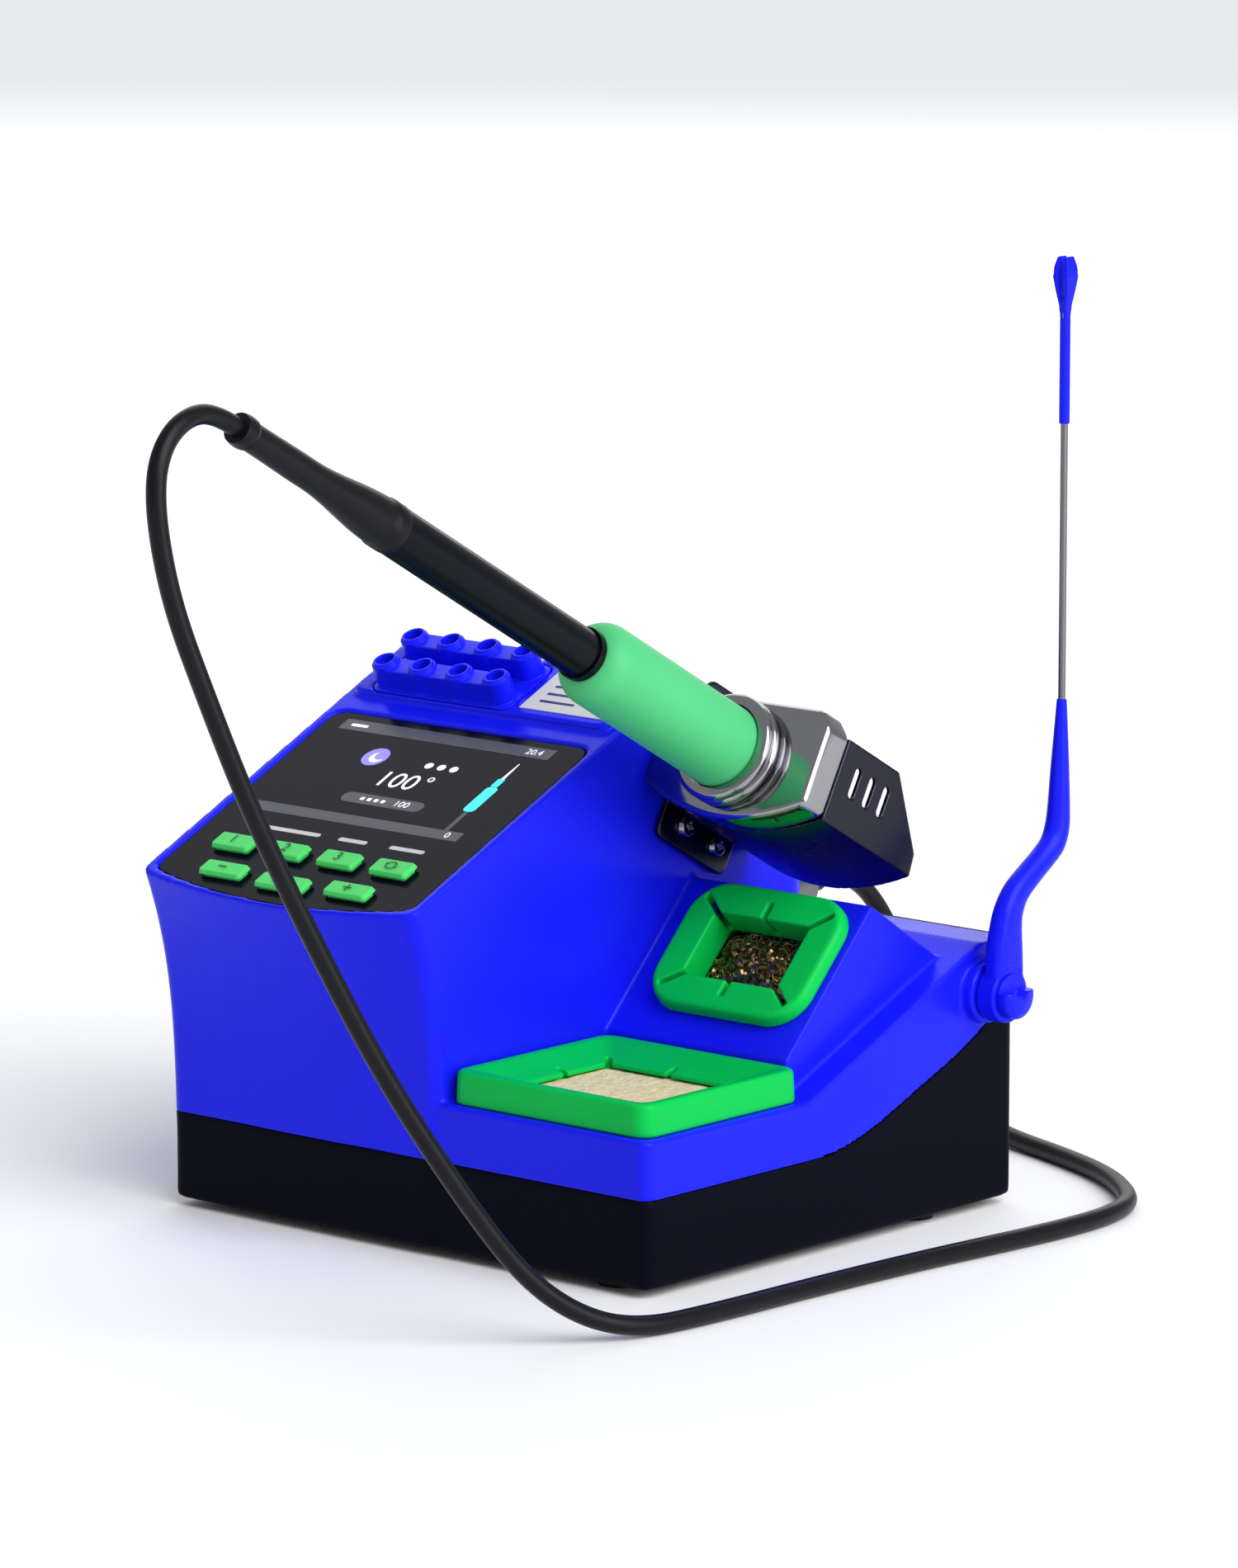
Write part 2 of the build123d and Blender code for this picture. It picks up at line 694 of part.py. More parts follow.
shroud_half = plate_half - 0.1
shroud_front = plate_front - plate_depth
with BuildPart() as holder_shroud:
    with BuildSketch(iron_plane.offset(shroud_front)) as channel:
        with BuildLine():
            Line((-shroud_half, shroud_top), (-shroud_half, plate_side - 0.5))
            ThreePointArc(
                (-shroud_half, plate_side - 0.5), (0, plate_belly + 0.3), (shroud_half, plate_side - 0.5)
            )
            Line((shroud_half, plate_side - 0.5), (shroud_half, shroud_top))
            Line((shroud_half, shroud_top), (shroud_half - sheet, shroud_top))
            Line((shroud_half - sheet, shroud_top), (shroud_half - sheet, plate_side))
            ThreePointArc(
                (shroud_half - sheet, plate_side),
                (0, plate_belly + 0.3 + sheet),
                (-shroud_half + sheet, plate_side),
            )
            Line((-shroud_half + sheet, plate_side), (-shroud_half + sheet, shroud_top))
            Line((-shroud_half + sheet, shroud_top), (-shroud_half, shroud_top))
        make_face()
    extrude(amount=-60)
    # slanted rear end
    shroud_side = Plane(
        origin=iron_plane.from_local_coords((-40, 0, 0)), x_dir=tip_dir, z_dir=(1, 0, 0)
    )
    with BuildSketch(shroud_side):
        with BuildLine():
            Polyline(
                (-shroud_front - 5, -30),
                (-shroud_front - 5, 30),
                (shroud_reach - plate_front, 30),
                (shroud_reach - plate_front, shroud_top),
                (shroud_reach_low - plate_front, plate_side + 5),
                (shroud_reach_low + 4 - plate_front, -30),
                close=True,
            )
        make_face()
    extrude(amount=90, mode=Mode.INTERSECT)
    # flange that closes against the casting, with the opening for the cartridge
    with BuildSketch(iron_plane.offset(shroud_front)) as flange:
        with BuildLine():
            Line((-shroud_half, plate_side - 0.5), (-shroud_half, shroud_top))
            Line((-shroud_half, shroud_top), (shroud_half, shroud_top))
            Line((shroud_half, shroud_top), (shroud_half, plate_side - 0.5))
            ThreePointArc(
                (shroud_half, plate_side - 0.5), (0, plate_belly + 0.3), (-shroud_half, plate_side - 0.5)
            )
        make_face()
    extrude(amount=-sheet)
    with BuildSketch(iron_plane.offset(shroud_front + 1)):
        RectangleRounded(30, 18, 4)
    extrude(amount=-(sheet + 2), mode=Mode.SUBTRACT)
    # bracket against the tower's wall
    bracket_plane = Plane(
        origin=iron_plane.from_local_coords((-shroud_half, 0, 0)), x_dir=tip_dir, z_dir=(1, 0, 0)
    )
    with BuildSketch(bracket_plane):
        with Locations(((bracket_start + bracket_end) / 2, (bracket_low + bracket_high) / 2)):
            RectangleRounded(bracket_end - bracket_start, bracket_high - bracket_low, 3.0)
    extrude(amount=sheet)
    with BuildSketch(bracket_plane.offset(-1)):
        with Locations(*holder_screw_places):
            Circle(holder_screw_radius + 0.1)
    extrude(amount=sheet + 2, mode=Mode.SUBTRACT)
    # three slots through the outer plate
    with BuildSketch(shroud_side.offset(80)):
        for slot in range(3):
            with Locations((7.0 - shroud_front + slot * 6.0, 2.0)):
                SlotOverall(7.5, 2.2, rotation=90)
    extrude(amount=-25, mode=Mode.SUBTRACT)
export(holder_shroud.part, "holder_shroud")

with BuildPart() as holder_screws:
    for reach, up in holder_screw_places:
        with BuildSketch(bracket_plane.offset(sheet)):
            with Locations((reach, up)):
                Circle(2.7)
        extrude(amount=1.4, taper=20)
        with BuildSketch(bracket_plane.offset(sheet)):
            with Locations((reach, up)):
                Circle(holder_screw_radius)
        extrude(amount=-(sheet + wall + 2))
        with BuildSketch(bracket_plane.offset(sheet + 1.5)):
            with Locations((reach, up)):
                Rectangle(2.6, 0.6)
                Rectangle(0.6, 2.6)
        extrude(amount=-1.0, mode=Mode.SUBTRACT)
export(holder_screws.part, "holder_screws")

# ================================================================ iron
with BuildPart() as iron_grip:
    with BuildSketch(iron_plane.offset(grip_front)):
        Circle(grip_radius)
    extrude(amount=grip_back - grip_front)
    fillet(iron_grip.edges().sort_by(Axis((0, 0, 0), iron_plane.z_dir))[-1], 6.0)
    fillet(iron_grip.edges().sort_by(Axis((0, 0, 0), iron_plane.z_dir))[0], 3.5)
    with BuildSketch(iron_plane.offset(grip_front - 1)):
        Circle(tube_radius)
    extrude(amount=grip_back - grip_front + 2, mode=Mode.SUBTRACT)
export(iron_grip.part, "iron_grip")

with BuildPart() as iron_tube:
    with BuildSketch(iron_plane.offset(grip_front)):
        Circle(tube_radius)
    extrude(amount=tube_back - grip_front)
    with BuildSketch(iron_plane.offset(grip_back)):
        Circle(tube_radius + 0.6)
    extrude(amount=2.0)
    with BuildSketch(iron_plane.offset(grip_front + 2)):
        Circle(tube_radius - tube_wall)
    extrude(amount=tube_back - grip_front, mode=Mode.SUBTRACT)
    with BuildSketch(iron_plane.offset(grip_front - 1)):
        Circle(cartridge_radius + 0.08)
    extrude(amount=5, mode=Mode.SUBTRACT)
export(iron_tube.part, "iron_tube")

with BuildPart() as contact_sleeve:
    with BuildSketch(iron_plane.offset(grip_front + 2)):
        Circle(tube_radius - tube_wall)
    extrude(amount=40)
    with BuildSketch(iron_plane.offset(grip_front + 2)):
        Circle(cartridge_radius + 0.08)
    extrude(amount=36, mode=Mode.SUBTRACT)
export(contact_sleeve.part, "contact_sleeve")

with BuildPart() as iron_cartridge:
    with BuildSketch(iron_plane.offset(grip_front + 36)):
        Circle(cartridge_radius)
    extrude(amount=cartridge_out + 14 - grip_front - 36)
    with BuildSketch(iron_plane.offset(cartridge_out + 14)):
        Circle(cartridge_radius * 0.8)
    with BuildSketch(iron_plane.offset(cartridge_out)):
        Circle(0.5)
    loft()
export(iron_cartridge.part, "iron_cartridge")

boot_profile = [  # distance behind the tube, radius
    (0.0, tube_radius + 0.15),
    (4.5, tube_radius + 0.15),
    (4.5, tube_radius - 0.1),
    (22.0, 4.6),
    (30.0, 3.7),
    (53.0, 3.5),
    (53.5, tail_radius),
    (boot_length, tail_radius),
]
tail = tube_back + boot_length
axis_frame = Plane(origin=iron_plane.origin, x_dir=iron_plane.z_dir, z_dir=(1, 0, 0))
with BuildPart() as iron_boot:
    with BuildSketch(axis_frame):
        with BuildLine():
            Polyline(
                (tube_back, 0),
                *[(tube_back + along, radius) for along, radius in boot_profile],
                (tail, 0),
                close=True,
            )
        make_face()
    revolve(axis=Axis(iron_plane.origin, iron_plane.z_dir))
export(iron_boot.part, "iron_boot")

# ================================================================ iron's cord and its plug
cord_floor = cord_radius + 0.1
tail_end = iron_plane.from_local_coords((0, 0, tail))
plug_end = Vector(plug_x, back + plug_length, plug_z)
cord_route = [
    tail_end,
    iron_plane.from_local_coords((0, 0, tail + 8.5)),
    (38.2, -178.2, 213.5),
    (38.7, -185.5, 208.8),
    (39.3, -189.3, 200.9),
    (40.5, -189.6, 188.5),
    (42.6, -187.0, 172.0),
    (46.0, -181.5, 154.0),
    (51.0, -173.0, 128.0),
    (58.0, -161.0, 98.0),
    (67.0, -147.0, 65.0),
    (76.5, -133.0, 38.0),
    (85.0, -120.5, 17.0),
    (92.0, -108.5, 6.5),
    (98.0, -95.0, cord_floor),
    (100.6, -73.0, cord_floor),
    (101.5, -38.0, cord_floor),
    (103.6, -2.0, cord_floor),
    (107.0, 28.0, cord_floor),
    (108.6, 48.0, cord_floor),
    (108.0, 64.0, cord_floor),
    (104.0, 77.0, cord_floor),
    (95.0, 87.0, cord_floor),
    (81.0, 97.5, cord_floor),
    (62.0, 106.0, cord_floor),
    (41.0, 113.0, cord_floor),
    (24.0, 119.0, 3.6),
    (12.0, 123.5, 11.5),
    (4.5, 124.0, 24.0),
    (0.4, 118.5, 40.0),
    (-1.2, 112.0, 53.5),
    (-1.8, 104.5, 62.5),
    (plug_x, 95.0, plug_z),
    plug_end,
]


def route_radii(points):
    """Largest radius that suits each corner of a route, from its two runs and its turn."""
    nodes = [Vector(*point) for point in points]
    radii = []
    for before, corner, after in zip(nodes, nodes[1:], nodes[2:]):
        turn = math.radians((corner - before).get_angle(after - corner))
        shorter = min((corner - before).length, (after - corner).length)
        radii.append(0.45 * shorter / math.tan(turn / 2))
    return radii


cord_radii = route_radii(cord_route)
print("cord radii", [round(radius, 1) for radius in cord_radii])
with BuildPart() as iron_cord:
    with BuildLine() as cord_path:
        FilletPolyline(*cord_route, radius=cord_radii)
    cord_start = Plane(origin=cord_path.line @ 0, z_dir=cord_path.line % 0)
    with BuildSketch(cord_start):
        Circle(cord_radius)
    sweep(path=cord_path.line)
cord_length = cord_path.wires()[0].length
print("cord length", round(cord_length, 1))
print("cord volume ratio", iron_cord.part.volume / (math.pi * cord_radius**2 * cord_length))
export(iron_cord.part, "iron_cord")

plug_plane = Plane(origin=(plug_x, back, plug_z), x_dir=(1, 0, 0), z_dir=(0, 1, 0))
with BuildPart() as cord_socket:
    with BuildSketch(plug_plane.offset(0.05)):
        RegularPolygon(socket_radius + 0.8, 6)
    extrude(amount=1.6)
    with BuildSketch(plug_plane.offset(-wall - 7)):
        Circle(socket_radius - 1.7)
    extrude(amount=wall + 12)
    with BuildSketch(plug_plane.offset(5.1)):
        Circle(socket_radius - 3.2)
    extrude(amount=-8, mode=Mode.SUBTRACT)
export(cord_socket.part, "cord_socket")

with BuildPart() as plug_nut:
    with BuildSketch(plug_plane.offset(2.0)):
        Circle(socket_radius)
        Circle(socket_radius - 1.65, mode=Mode.SUBTRACT)
    extrude(amount=nut_length - 2.0)
    with BuildSketch(plug_plane.offset(nut_length)):
        Circle(socket_radius)
        Circle(3.6, mode=Mode.SUBTRACT)
    extrude(amount=1.2)
export(plug_nut.part, "plug_nut")

with BuildPart() as cord_plug:
    with BuildSketch(plug_plane.offset(-1.5)):
        Circle(socket_radius - 3.3)
    extrude(amount=nut_length + 1.3)
    with BuildSketch(plug_plane.offset(nut_length - 0.3)):
        Circle(3.5)
    extrude(amount=plug_length - nut_length + 0.3)
export(cord_plug.part, "cord_plug")

# ================================================================ cable arm
arm_plane = Plane(origin=(arm_x, arm_y, arm_z), x_dir=(0, 1, 0), z_dir=(1, 0, 0))
with BuildPart() as guide_arm:
    with BuildSketch(arm_plane) as arm_outline:
        Circle(6.6)
        with BuildLine():
            Polyline(
                (-6.0, 0),
                (-5.2, 12.0),
                (-2.0, 20.6),
                (6.4, 29.8),
                (14.4, 34.4),
                (rod_offset - 4.2, 39.0),
                (rod_offset - 1.9, arm_rise),
                (rod_offset + 1.9, arm_rise),
                (rod_offset + 2.2, 44.0),
                (rod_offset + 1.6, 35.6),
                (17.6, 28.8),
                (7.4, 21.6),
                (6.0, 12.0),
                (6.0, 0),
                close=True,
            )
        make_face()
    extrude(amount=arm_thickness)
    rod_plane = Plane(origin=(arm_x + arm_thickness / 2, arm_y + rod_offset, arm_z + arm_rise))
    with BuildSketch(rod_plane):
        Circle(rod_radius)
    extrude(amount=-14, mode=Mode.SUBTRACT)
    with BuildSketch(arm_plane):
        Circle(arm_pin_radius + running_gap)
    extrude(amount=arm_thickness, mode=Mode.SUBTRACT)
export(guide_arm.part, "guide_arm")

with BuildPart() as guide_pin:
    with BuildSketch(arm_plane.offset(-(arm_boss_length + 0.35 + wall + 2))):
        Circle(arm_pin_radius)
    extrude(amount=arm_boss_length + 0.35 + wall + 2 + arm_thickness + 0.35)
    with BuildSketch(arm_plane.offset(arm_thickness + 0.35)):
        Circle(5.2)
    extrude(amount=3.4)
    with BuildSketch(arm_plane.offset(arm_thickness + 1.6)):
        with Locations((0, 5.2)):
            Rectangle(11, 6.0)
    extrude(amount=4, mode=Mode.SUBTRACT)
export(guide_pin.part, "guide_pin")

with BuildPart() as guide_rod:
    with BuildSketch(rod_plane.offset(-14)):
        Circle(rod_radius)
    extrude(amount=14 + rod_length)
export(guide_rod.part, "guide_rod")

clip_base = rod_length - 26.6
clip_sleeve = 25.1
clip_slot = 1.6
clip_slot_foot = 4.5  # above the sleeve
clip_sections = (  # height above the sleeve, side of the square section
    (0.0, 1.8),
    (3.5, 2.4),
    (7.0, 3.6),
    (10.0, 4.4),
    (12.6, 4.0),
    (14.9, 2.8),
)
with BuildPart() as guide_clip:
    with BuildSketch(rod_plane.offset(clip_base)):
        Circle(1.3)
    extrude(amount=clip_sleeve)
    for height, side in clip_sections:
        with BuildSketch(rod_plane.offset(clip_base + clip_sleeve + height)):
            Rectangle(side, side)
    loft(ruled=True)
    with BuildSketch(Plane(origin=rod_plane.origin, x_dir=(1, 0, 0), z_dir=(0, -1, 0))):
        with Locations((0, clip_base + clip_sleeve + clip_slot_foot + clip_sections[-1][0] / 2)):
            SlotOverall(clip_sections[-1][0], clip_slot, rotation=90)
    extrude(amount=6, both=True, mode=Mode.SUBTRACT)
    with BuildSketch(rod_plane.offset(clip_base)):
        Circle(rod_radius)
    extrude(amount=rod_length - clip_base, mode=Mode.SUBTRACT)
export(guide_clip.part, "guide_clip")

# ================================================================ rear panel fittings
with BuildPart() as power_inlet:
    with BuildSketch(Plane.XZ.offset(-back)):
        with Locations((inlet_x, inlet_z)):
            RectangleRounded(inlet_width + 5, inlet_height + 5, 2)
    extrude(amount=-2.2)
    with BuildSketch(Plane.XZ.offset(-back)):
        with Locations((inlet_x, inlet_z)):
            Rectangle(inlet_width - 0.4, inlet_height - 0.4)
    extrude(amount=18)
    with BuildSketch(Plane.XZ.offset(-back - 2.2)):
        with Locations((inlet_x, inlet_z)):
            RectangleRounded(24.0, 16.0, 3.0)
    extrude(amount=15, mode=Mode.SUBTRACT)
    for pin_x, pin_z in ((-7.0, -2.0), (7.0, -2.0), (0.0, 2.0)):
        with BuildSketch(Plane.XZ.offset(-back + 14)):
            with Locations((inlet_x + pin_x, inlet_z + pin_z)):
                Rectangle(2.0, 4.0)
        extrude(amount=-12)
export(power_inlet.part, "power_inlet")

rocker_half = 4.4
rocker_y = back - 2.0
trunnion = 1.2  # length of each pivot stub beyond the rocker
trunnion_radius = 1.2
with BuildPart() as power_switch:
    with BuildSketch(Plane.XZ.offset(-back)):
        with Locations((switch_x, inlet_z)):
            RectangleRounded(switch_width + 2, switch_height + 2, 1)
    extrude(amount=-1.6)
    with BuildSketch(Plane.XZ.offset(-back)):
        with Locations((switch_x, inlet_z)):
            Rectangle(switch_width - 0.4, switch_height - 0.4)
    extrude(amount=15)
    with BuildSketch(Plane.XZ.offset(-back - 1.6)):
        with Locations((switch_x, inlet_z)):
            Rectangle(2 * rocker_half + 0.6, switch_height - 3)
    extrude(amount=9, mode=Mode.SUBTRACT)
    with BuildSketch(Plane.YZ.offset(switch_x - rocker_half - trunnion - 0.2)):
        with Locations((rocker_y, inlet_z)):
            Circle(trunnion_radius + 0.08)
    extrude(amount=2 * (rocker_half + trunnion + 0.2), mode=Mode.SUBTRACT)
export(power_switch.part, "power_switch")

with BuildPart() as rocker:
    with BuildSketch(Plane.YZ.offset(switch_x - rocker_half)):
        with BuildLine():
            Polyline(
                (rocker_y - 3.0, inlet_z - 6.4),
                (rocker_y + 2.2, inlet_z - 7.3),
                (rocker_y + 3.6, inlet_z),
                (rocker_y + 5.4, inlet_z + 7.0),
                (rocker_y - 0.6, inlet_z + 7.0),
                (rocker_y - 3.0, inlet_z + 4.6),
                close=True,
            )
        make_face()
    extrude(amount=2 * rocker_half)
    with BuildSketch(Plane.YZ.offset(switch_x - rocker_half - trunnion)):
        with Locations((rocker_y, inlet_z)):
            Circle(trunnion_radius)
    extrude(amount=2 * (rocker_half + trunnion))
export(rocker.part, "rocker")

# ================================================================ inside
board_z = under + wall + 5.0
with BuildPart() as power_board:
    with BuildSketch(Plane.XY.offset(board_z)):
        with Locations((-14, -2)):
            Rectangle(96, 84)
    extrude(amount=1.6)
    for post_x in (-58, 30):
        for post_y in (-40, 36):
            with BuildSketch(Plane.XY.offset(board_z)):
                with Locations((post_x, post_y)):
                    Circle(2.5)
            extrude(amount=-5.0)
export(power_board.part, "power_board")

board_top = board_z + 1.6
with BuildPart() as transformer:
    with BuildSketch(Plane.XY.offset(board_top)):
        with Locations((-30, 8)):
            Rectangle(34, 28)
    extrude(amount=24)
    with BuildSketch(Plane.XY.offset(board_top + 5)):
        with Locations((-30, 8)):
            Rectangle(26, 38)
    extrude(amount=14)
export(transformer.part, "transformer")

with BuildPart() as capacitors:
    for spot_x, spot_y in ((-2, 24), (-2, 6), (14, 24)):
        with BuildSketch(Plane.XY.offset(board_top)):
            with Locations((spot_x, spot_y)):
                Circle(6.0)
        extrude(amount=22 if spot_x < 0 else 15)
export(capacitors.part, "capacitors")

with BuildPart() as heat_sink:
    with BuildSketch(Plane.XY.offset(board_top)):
        with Locations((4, -30)):
            Rectangle(40, 2.4)
        for fin in range(7):
            with Locations((-14 + fin * 6.0, -25)):
                Rectangle(1.4, 8)
    extrude(amount=16)
export(heat_sink.part, "heat_sink")

# ================================================================ feet and housing screws
with BuildPart() as feet:
    for foot_x, foot_y in foot_places:
        with BuildSketch():
            with Locations((foot_x, foot_y)):
                Circle(foot_radius)
        extrude(amount=foot_height)
        with BuildSketch():
            with Locations((foot_x, foot_y)):
                Circle(1.4)
        extrude(amount=foot_height + wall)
export(feet.part, "feet")

with BuildPart() as housing_screws:
    for post_x, post_y in post_places:
        with BuildSketch(Plane.XY.offset(under + 0.2)):
            with Locations((post_x, post_y)):
                Circle(screw_radius * 2)
        extrude(amount=screw_head_depth - 0.3)
        with BuildSketch(Plane.XY.offset(under + 0.2)):
            with Locations((post_x, post_y)):
                Circle(screw_radius)
        extrude(amount=split_height)
export(housing_screws.part, "housing_screws")
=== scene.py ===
"""Soldering iron station: the visible pieces, their finishes and the studio round them.

Everything is in metres in the station's own frame: +X right, +Y back, +Z up, with the
origin on the bench below the centre of the housing.
"""

from __future__ import annotations

import logging
import math
from dataclasses import dataclass
from enum import Enum

import bmesh
import bpy
import numpy as np
from mathutils import Matrix, Vector
from mathutils.bvhtree import BVHTree


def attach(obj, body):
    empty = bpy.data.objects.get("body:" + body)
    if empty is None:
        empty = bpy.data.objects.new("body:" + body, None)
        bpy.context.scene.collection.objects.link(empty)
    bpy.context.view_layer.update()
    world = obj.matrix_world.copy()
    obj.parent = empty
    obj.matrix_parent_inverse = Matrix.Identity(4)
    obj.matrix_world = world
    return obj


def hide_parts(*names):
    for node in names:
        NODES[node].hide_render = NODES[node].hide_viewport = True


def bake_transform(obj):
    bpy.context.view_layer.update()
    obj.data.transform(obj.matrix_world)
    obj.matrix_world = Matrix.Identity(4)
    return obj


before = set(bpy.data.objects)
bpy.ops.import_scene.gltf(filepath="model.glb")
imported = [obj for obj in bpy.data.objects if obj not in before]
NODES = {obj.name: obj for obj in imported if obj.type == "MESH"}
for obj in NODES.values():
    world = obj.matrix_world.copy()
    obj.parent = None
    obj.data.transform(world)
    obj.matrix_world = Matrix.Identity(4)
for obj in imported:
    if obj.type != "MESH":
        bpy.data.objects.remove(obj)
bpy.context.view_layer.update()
LOG = logging.getLogger("station")
MM = 0.001

Point = tuple[float, float, float]
Colour = tuple[float, float, float]
Outline = list[tuple[float, float]]
Ring = tuple[float, float, float, float]


class Slot(Enum):
    """Material slots of the record, one given with each new piece."""

    BLUE = "blue_plastic"
    BLACK = "black_plastic"
    GLOSS = "black_gloss"
    RUBBER = "black_rubber"
    GREEN = "green_silicone"
    KEY = "green_key"
    SPONGE = "sponge_yellow"
    LABEL = "label_white"
    BRASS = "brass"
    CHROME = "chrome"
    SHEET = "dark_steel"


# ---------------------------------------------------------------- local frames
def tilted_frame(origin: Point, normal: Point) -> Matrix:
    """Frame whose x axis is level, whose z axis is the normal and whose y axis runs up the slope.

    Args:
        origin: Place of the frame, in millimetres.
        normal: Direction of its z axis, square to X.

    Returns:
        Matrix that takes local millimetres to the station's metres.
    """
    z_axis = Vector(normal).normalized()
    x_axis = Vector((1.0, 0.0, 0.0))
    y_axis = z_axis.cross(x_axis)
    turn = Matrix((x_axis, y_axis, z_axis)).transposed().to_4x4()
    return Matrix.Scale(MM, 4) @ Matrix.Translation(Vector(origin)) @ turn


PANEL_SLOPE = math.radians(24.9)
PANEL = tilted_frame((-31.85, -8.95, 115.4), (0.0, -math.sin(PANEL_SLOPE), math.cos(PANEL_SLOPE)))
CUP_TILT = math.radians(44.0)
CUP_UP = 25.9
CUP = tilted_frame(
    (43.2, -9.35 + CUP_UP * math.sin(CUP_TILT), 46.0 + CUP_UP * math.cos(CUP_TILT)),
    (0.0, -math.cos(CUP_TILT), math.sin(CUP_TILT)),
)
TRAY = tilted_frame((43.4, -37.75, 37.4), (0.0, 0.0, 1.0))
IRON_PITCH = math.radians(29.5)
IRON = tilted_frame((38.0, 1.16, 117.2), (0.0, -math.cos(IRON_PITCH), math.sin(IRON_PITCH)))


# ---------------------------------------------------------------- shader building
class Value:
    """One shader value that Python's operators work on."""

    def __init__(self, tree: bpy.types.NodeTree, socket: bpy.types.NodeSocket) -> None:
        """Hold the socket and the tree it lives in."""
        self.tree = tree
        self.socket = socket

    def apply(self, operation: str, *others: Value | float, first: Value | float | None = None) -> Value:
        """Add one Math node.

        Args:
            operation: The node's operation.
            others: Values after the first input.
            first: Value of the first input, where it isn't this one.

        Returns:
            The node's result.
        """
        node = self.tree.nodes.new("ShaderNodeMath")
        node.operation = operation
        for socket, value in zip(node.inputs, (self if first is None else first, *others)):
            if isinstance(value, Value):
                self.tree.links.new(value.socket, socket)
            else:
                socket.default_value = value
        return Value(self.tree, node.outputs[0])

    def __add__(self, other: Value | float) -> Value:
        """Sum."""
        return self.apply("ADD", other)

    __radd__ = __add__

    def __mul__(self, other: Value | float) -> Value:
        """Product."""
        return self.apply("MULTIPLY", other)

    __rmul__ = __mul__

    def __sub__(self, other: Value | float) -> Value:
        """Difference."""
        return self.apply("SUBTRACT", other)

    def __rsub__(self, other: float) -> Value:
        """Difference the other way round."""
        return self.apply("SUBTRACT", self, first=other)

    def clamp(self, low: float = 0.0, high: float = 1.0) -> Value:
        """Keep the value between two limits."""
        return self.apply("MAXIMUM", low).apply("MINIMUM", high)


class Paint:
    """Node tree of one material, with a Principled shader at its end."""

    def __init__(self, name: str) -> None:
        """Start an empty material of that name."""
        self.material = bpy.data.materials.new(name)
        self.material.use_nodes = True
        self.tree = self.material.node_tree
        self.shader = self.tree.nodes["Principled BSDF"]
        self.where = self.node("ShaderNodeTexCoord").outputs["Object"]

    def node(
        self,
        kind: str,
        settings: dict[str, object] | None = None,
        values: dict[str, object] | None = None,
    ) -> bpy.types.Node:
        """Add a node.

        Args:
            kind: The node's type.
            settings: Its own properties, set before its sockets.
            values: Values or links of its input sockets, by name.

        Returns:
            The node.
        """
        node = self.tree.nodes.new(kind)
        for key, value in (settings or {}).items():
            setattr(node, key, value)
        for key, value in (values or {}).items():
            self.feed(node.inputs[key], value)
        return node

    def feed(self, socket: bpy.types.NodeSocket, value: object) -> None:
        """Give a socket a constant or a link."""
        if isinstance(value, Value):
            self.tree.links.new(value.socket, socket)
        elif isinstance(value, bpy.types.NodeSocket):
            self.tree.links.new(value, socket)
        else:
            socket.default_value = value

    def set(self, **values: object) -> None:
        """Set the shader's sockets; an underscore in a name stands for a space."""
        for key, value in values.items():
            self.feed(self.shader.inputs[key.replace("_", " ")], value)

    def noise(self, scale: float, detail: float = 3.0, vector: object = None) -> Value:
        """Noise over the piece.

        Args:
            scale: Waves in one metre.
            detail: Octaves.
            vector: Coordinates, where they aren't the piece's own.

        Returns:
            A value near 0.5.
        """
        vector = self.where if vector is None else vector
        values = {"Scale": scale, "Detail": detail, "Vector": vector}
        node = self.node("ShaderNodeTexNoise", None, values)
        return Value(self.tree, node.outputs["Fac"])

    def cells(self, scale: float) -> Value:
        """Distance to the middle of the nearest cell, in a pattern of that scale."""
        node = self.node("ShaderNodeTexVoronoi", None, {"Scale": scale, "Vector": self.where})
        return Value(self.tree, node.outputs["Distance"])

    def mix(self, factor: object, low: Colour, high: Colour) -> bpy.types.NodeSocket:
        """Blend two colours by a factor."""
        node = self.node("ShaderNodeMix", {"data_type": "RGBA"})
        self.feed(node.inputs["Factor"], factor)
        node.inputs[6].default_value = (*low, 1.0)
        node.inputs[7].default_value = (*high, 1.0)
        return node.outputs[2]

    def bump(self, height: Value, depth: float, strength: float = 1.0) -> None:
        """Raise the surface by a height pattern, depth metres at most."""
        node = self.node(
            "ShaderNodeBump", None, {"Height": height, "Distance": depth, "Strength": strength}
        )
        self.set(Normal=node.outputs["Normal"])


@dataclass(frozen=True)
class Moulded:
    """Injection-moulded plastic with a fine spark texture and slight cloudiness."""

    name: str
    colour: Colour
    deep: Colour
    roughness: float = 0.36
    grain: float = 0.00004
    grain_scale: float = 2200.0
    shine: float = 0.25

    def make(self) -> bpy.types.Material:
        """Build the material."""
        paint = Paint(self.name)
        cloud = paint.noise(26.0, 2.0)
        fine = paint.noise(self.grain_scale, 2.0)
        paint.set(
            Base_Color=paint.mix(cloud, self.deep, self.colour),
            Roughness=(cloud - 0.5) * 0.12 + fine * 0.06 + (self.roughness - 0.03),
            Coat_Roughness=0.12,
            Specular_IOR_Level=self.shine,
        )
        paint.bump(fine, self.grain, 0.6)
        return paint.material


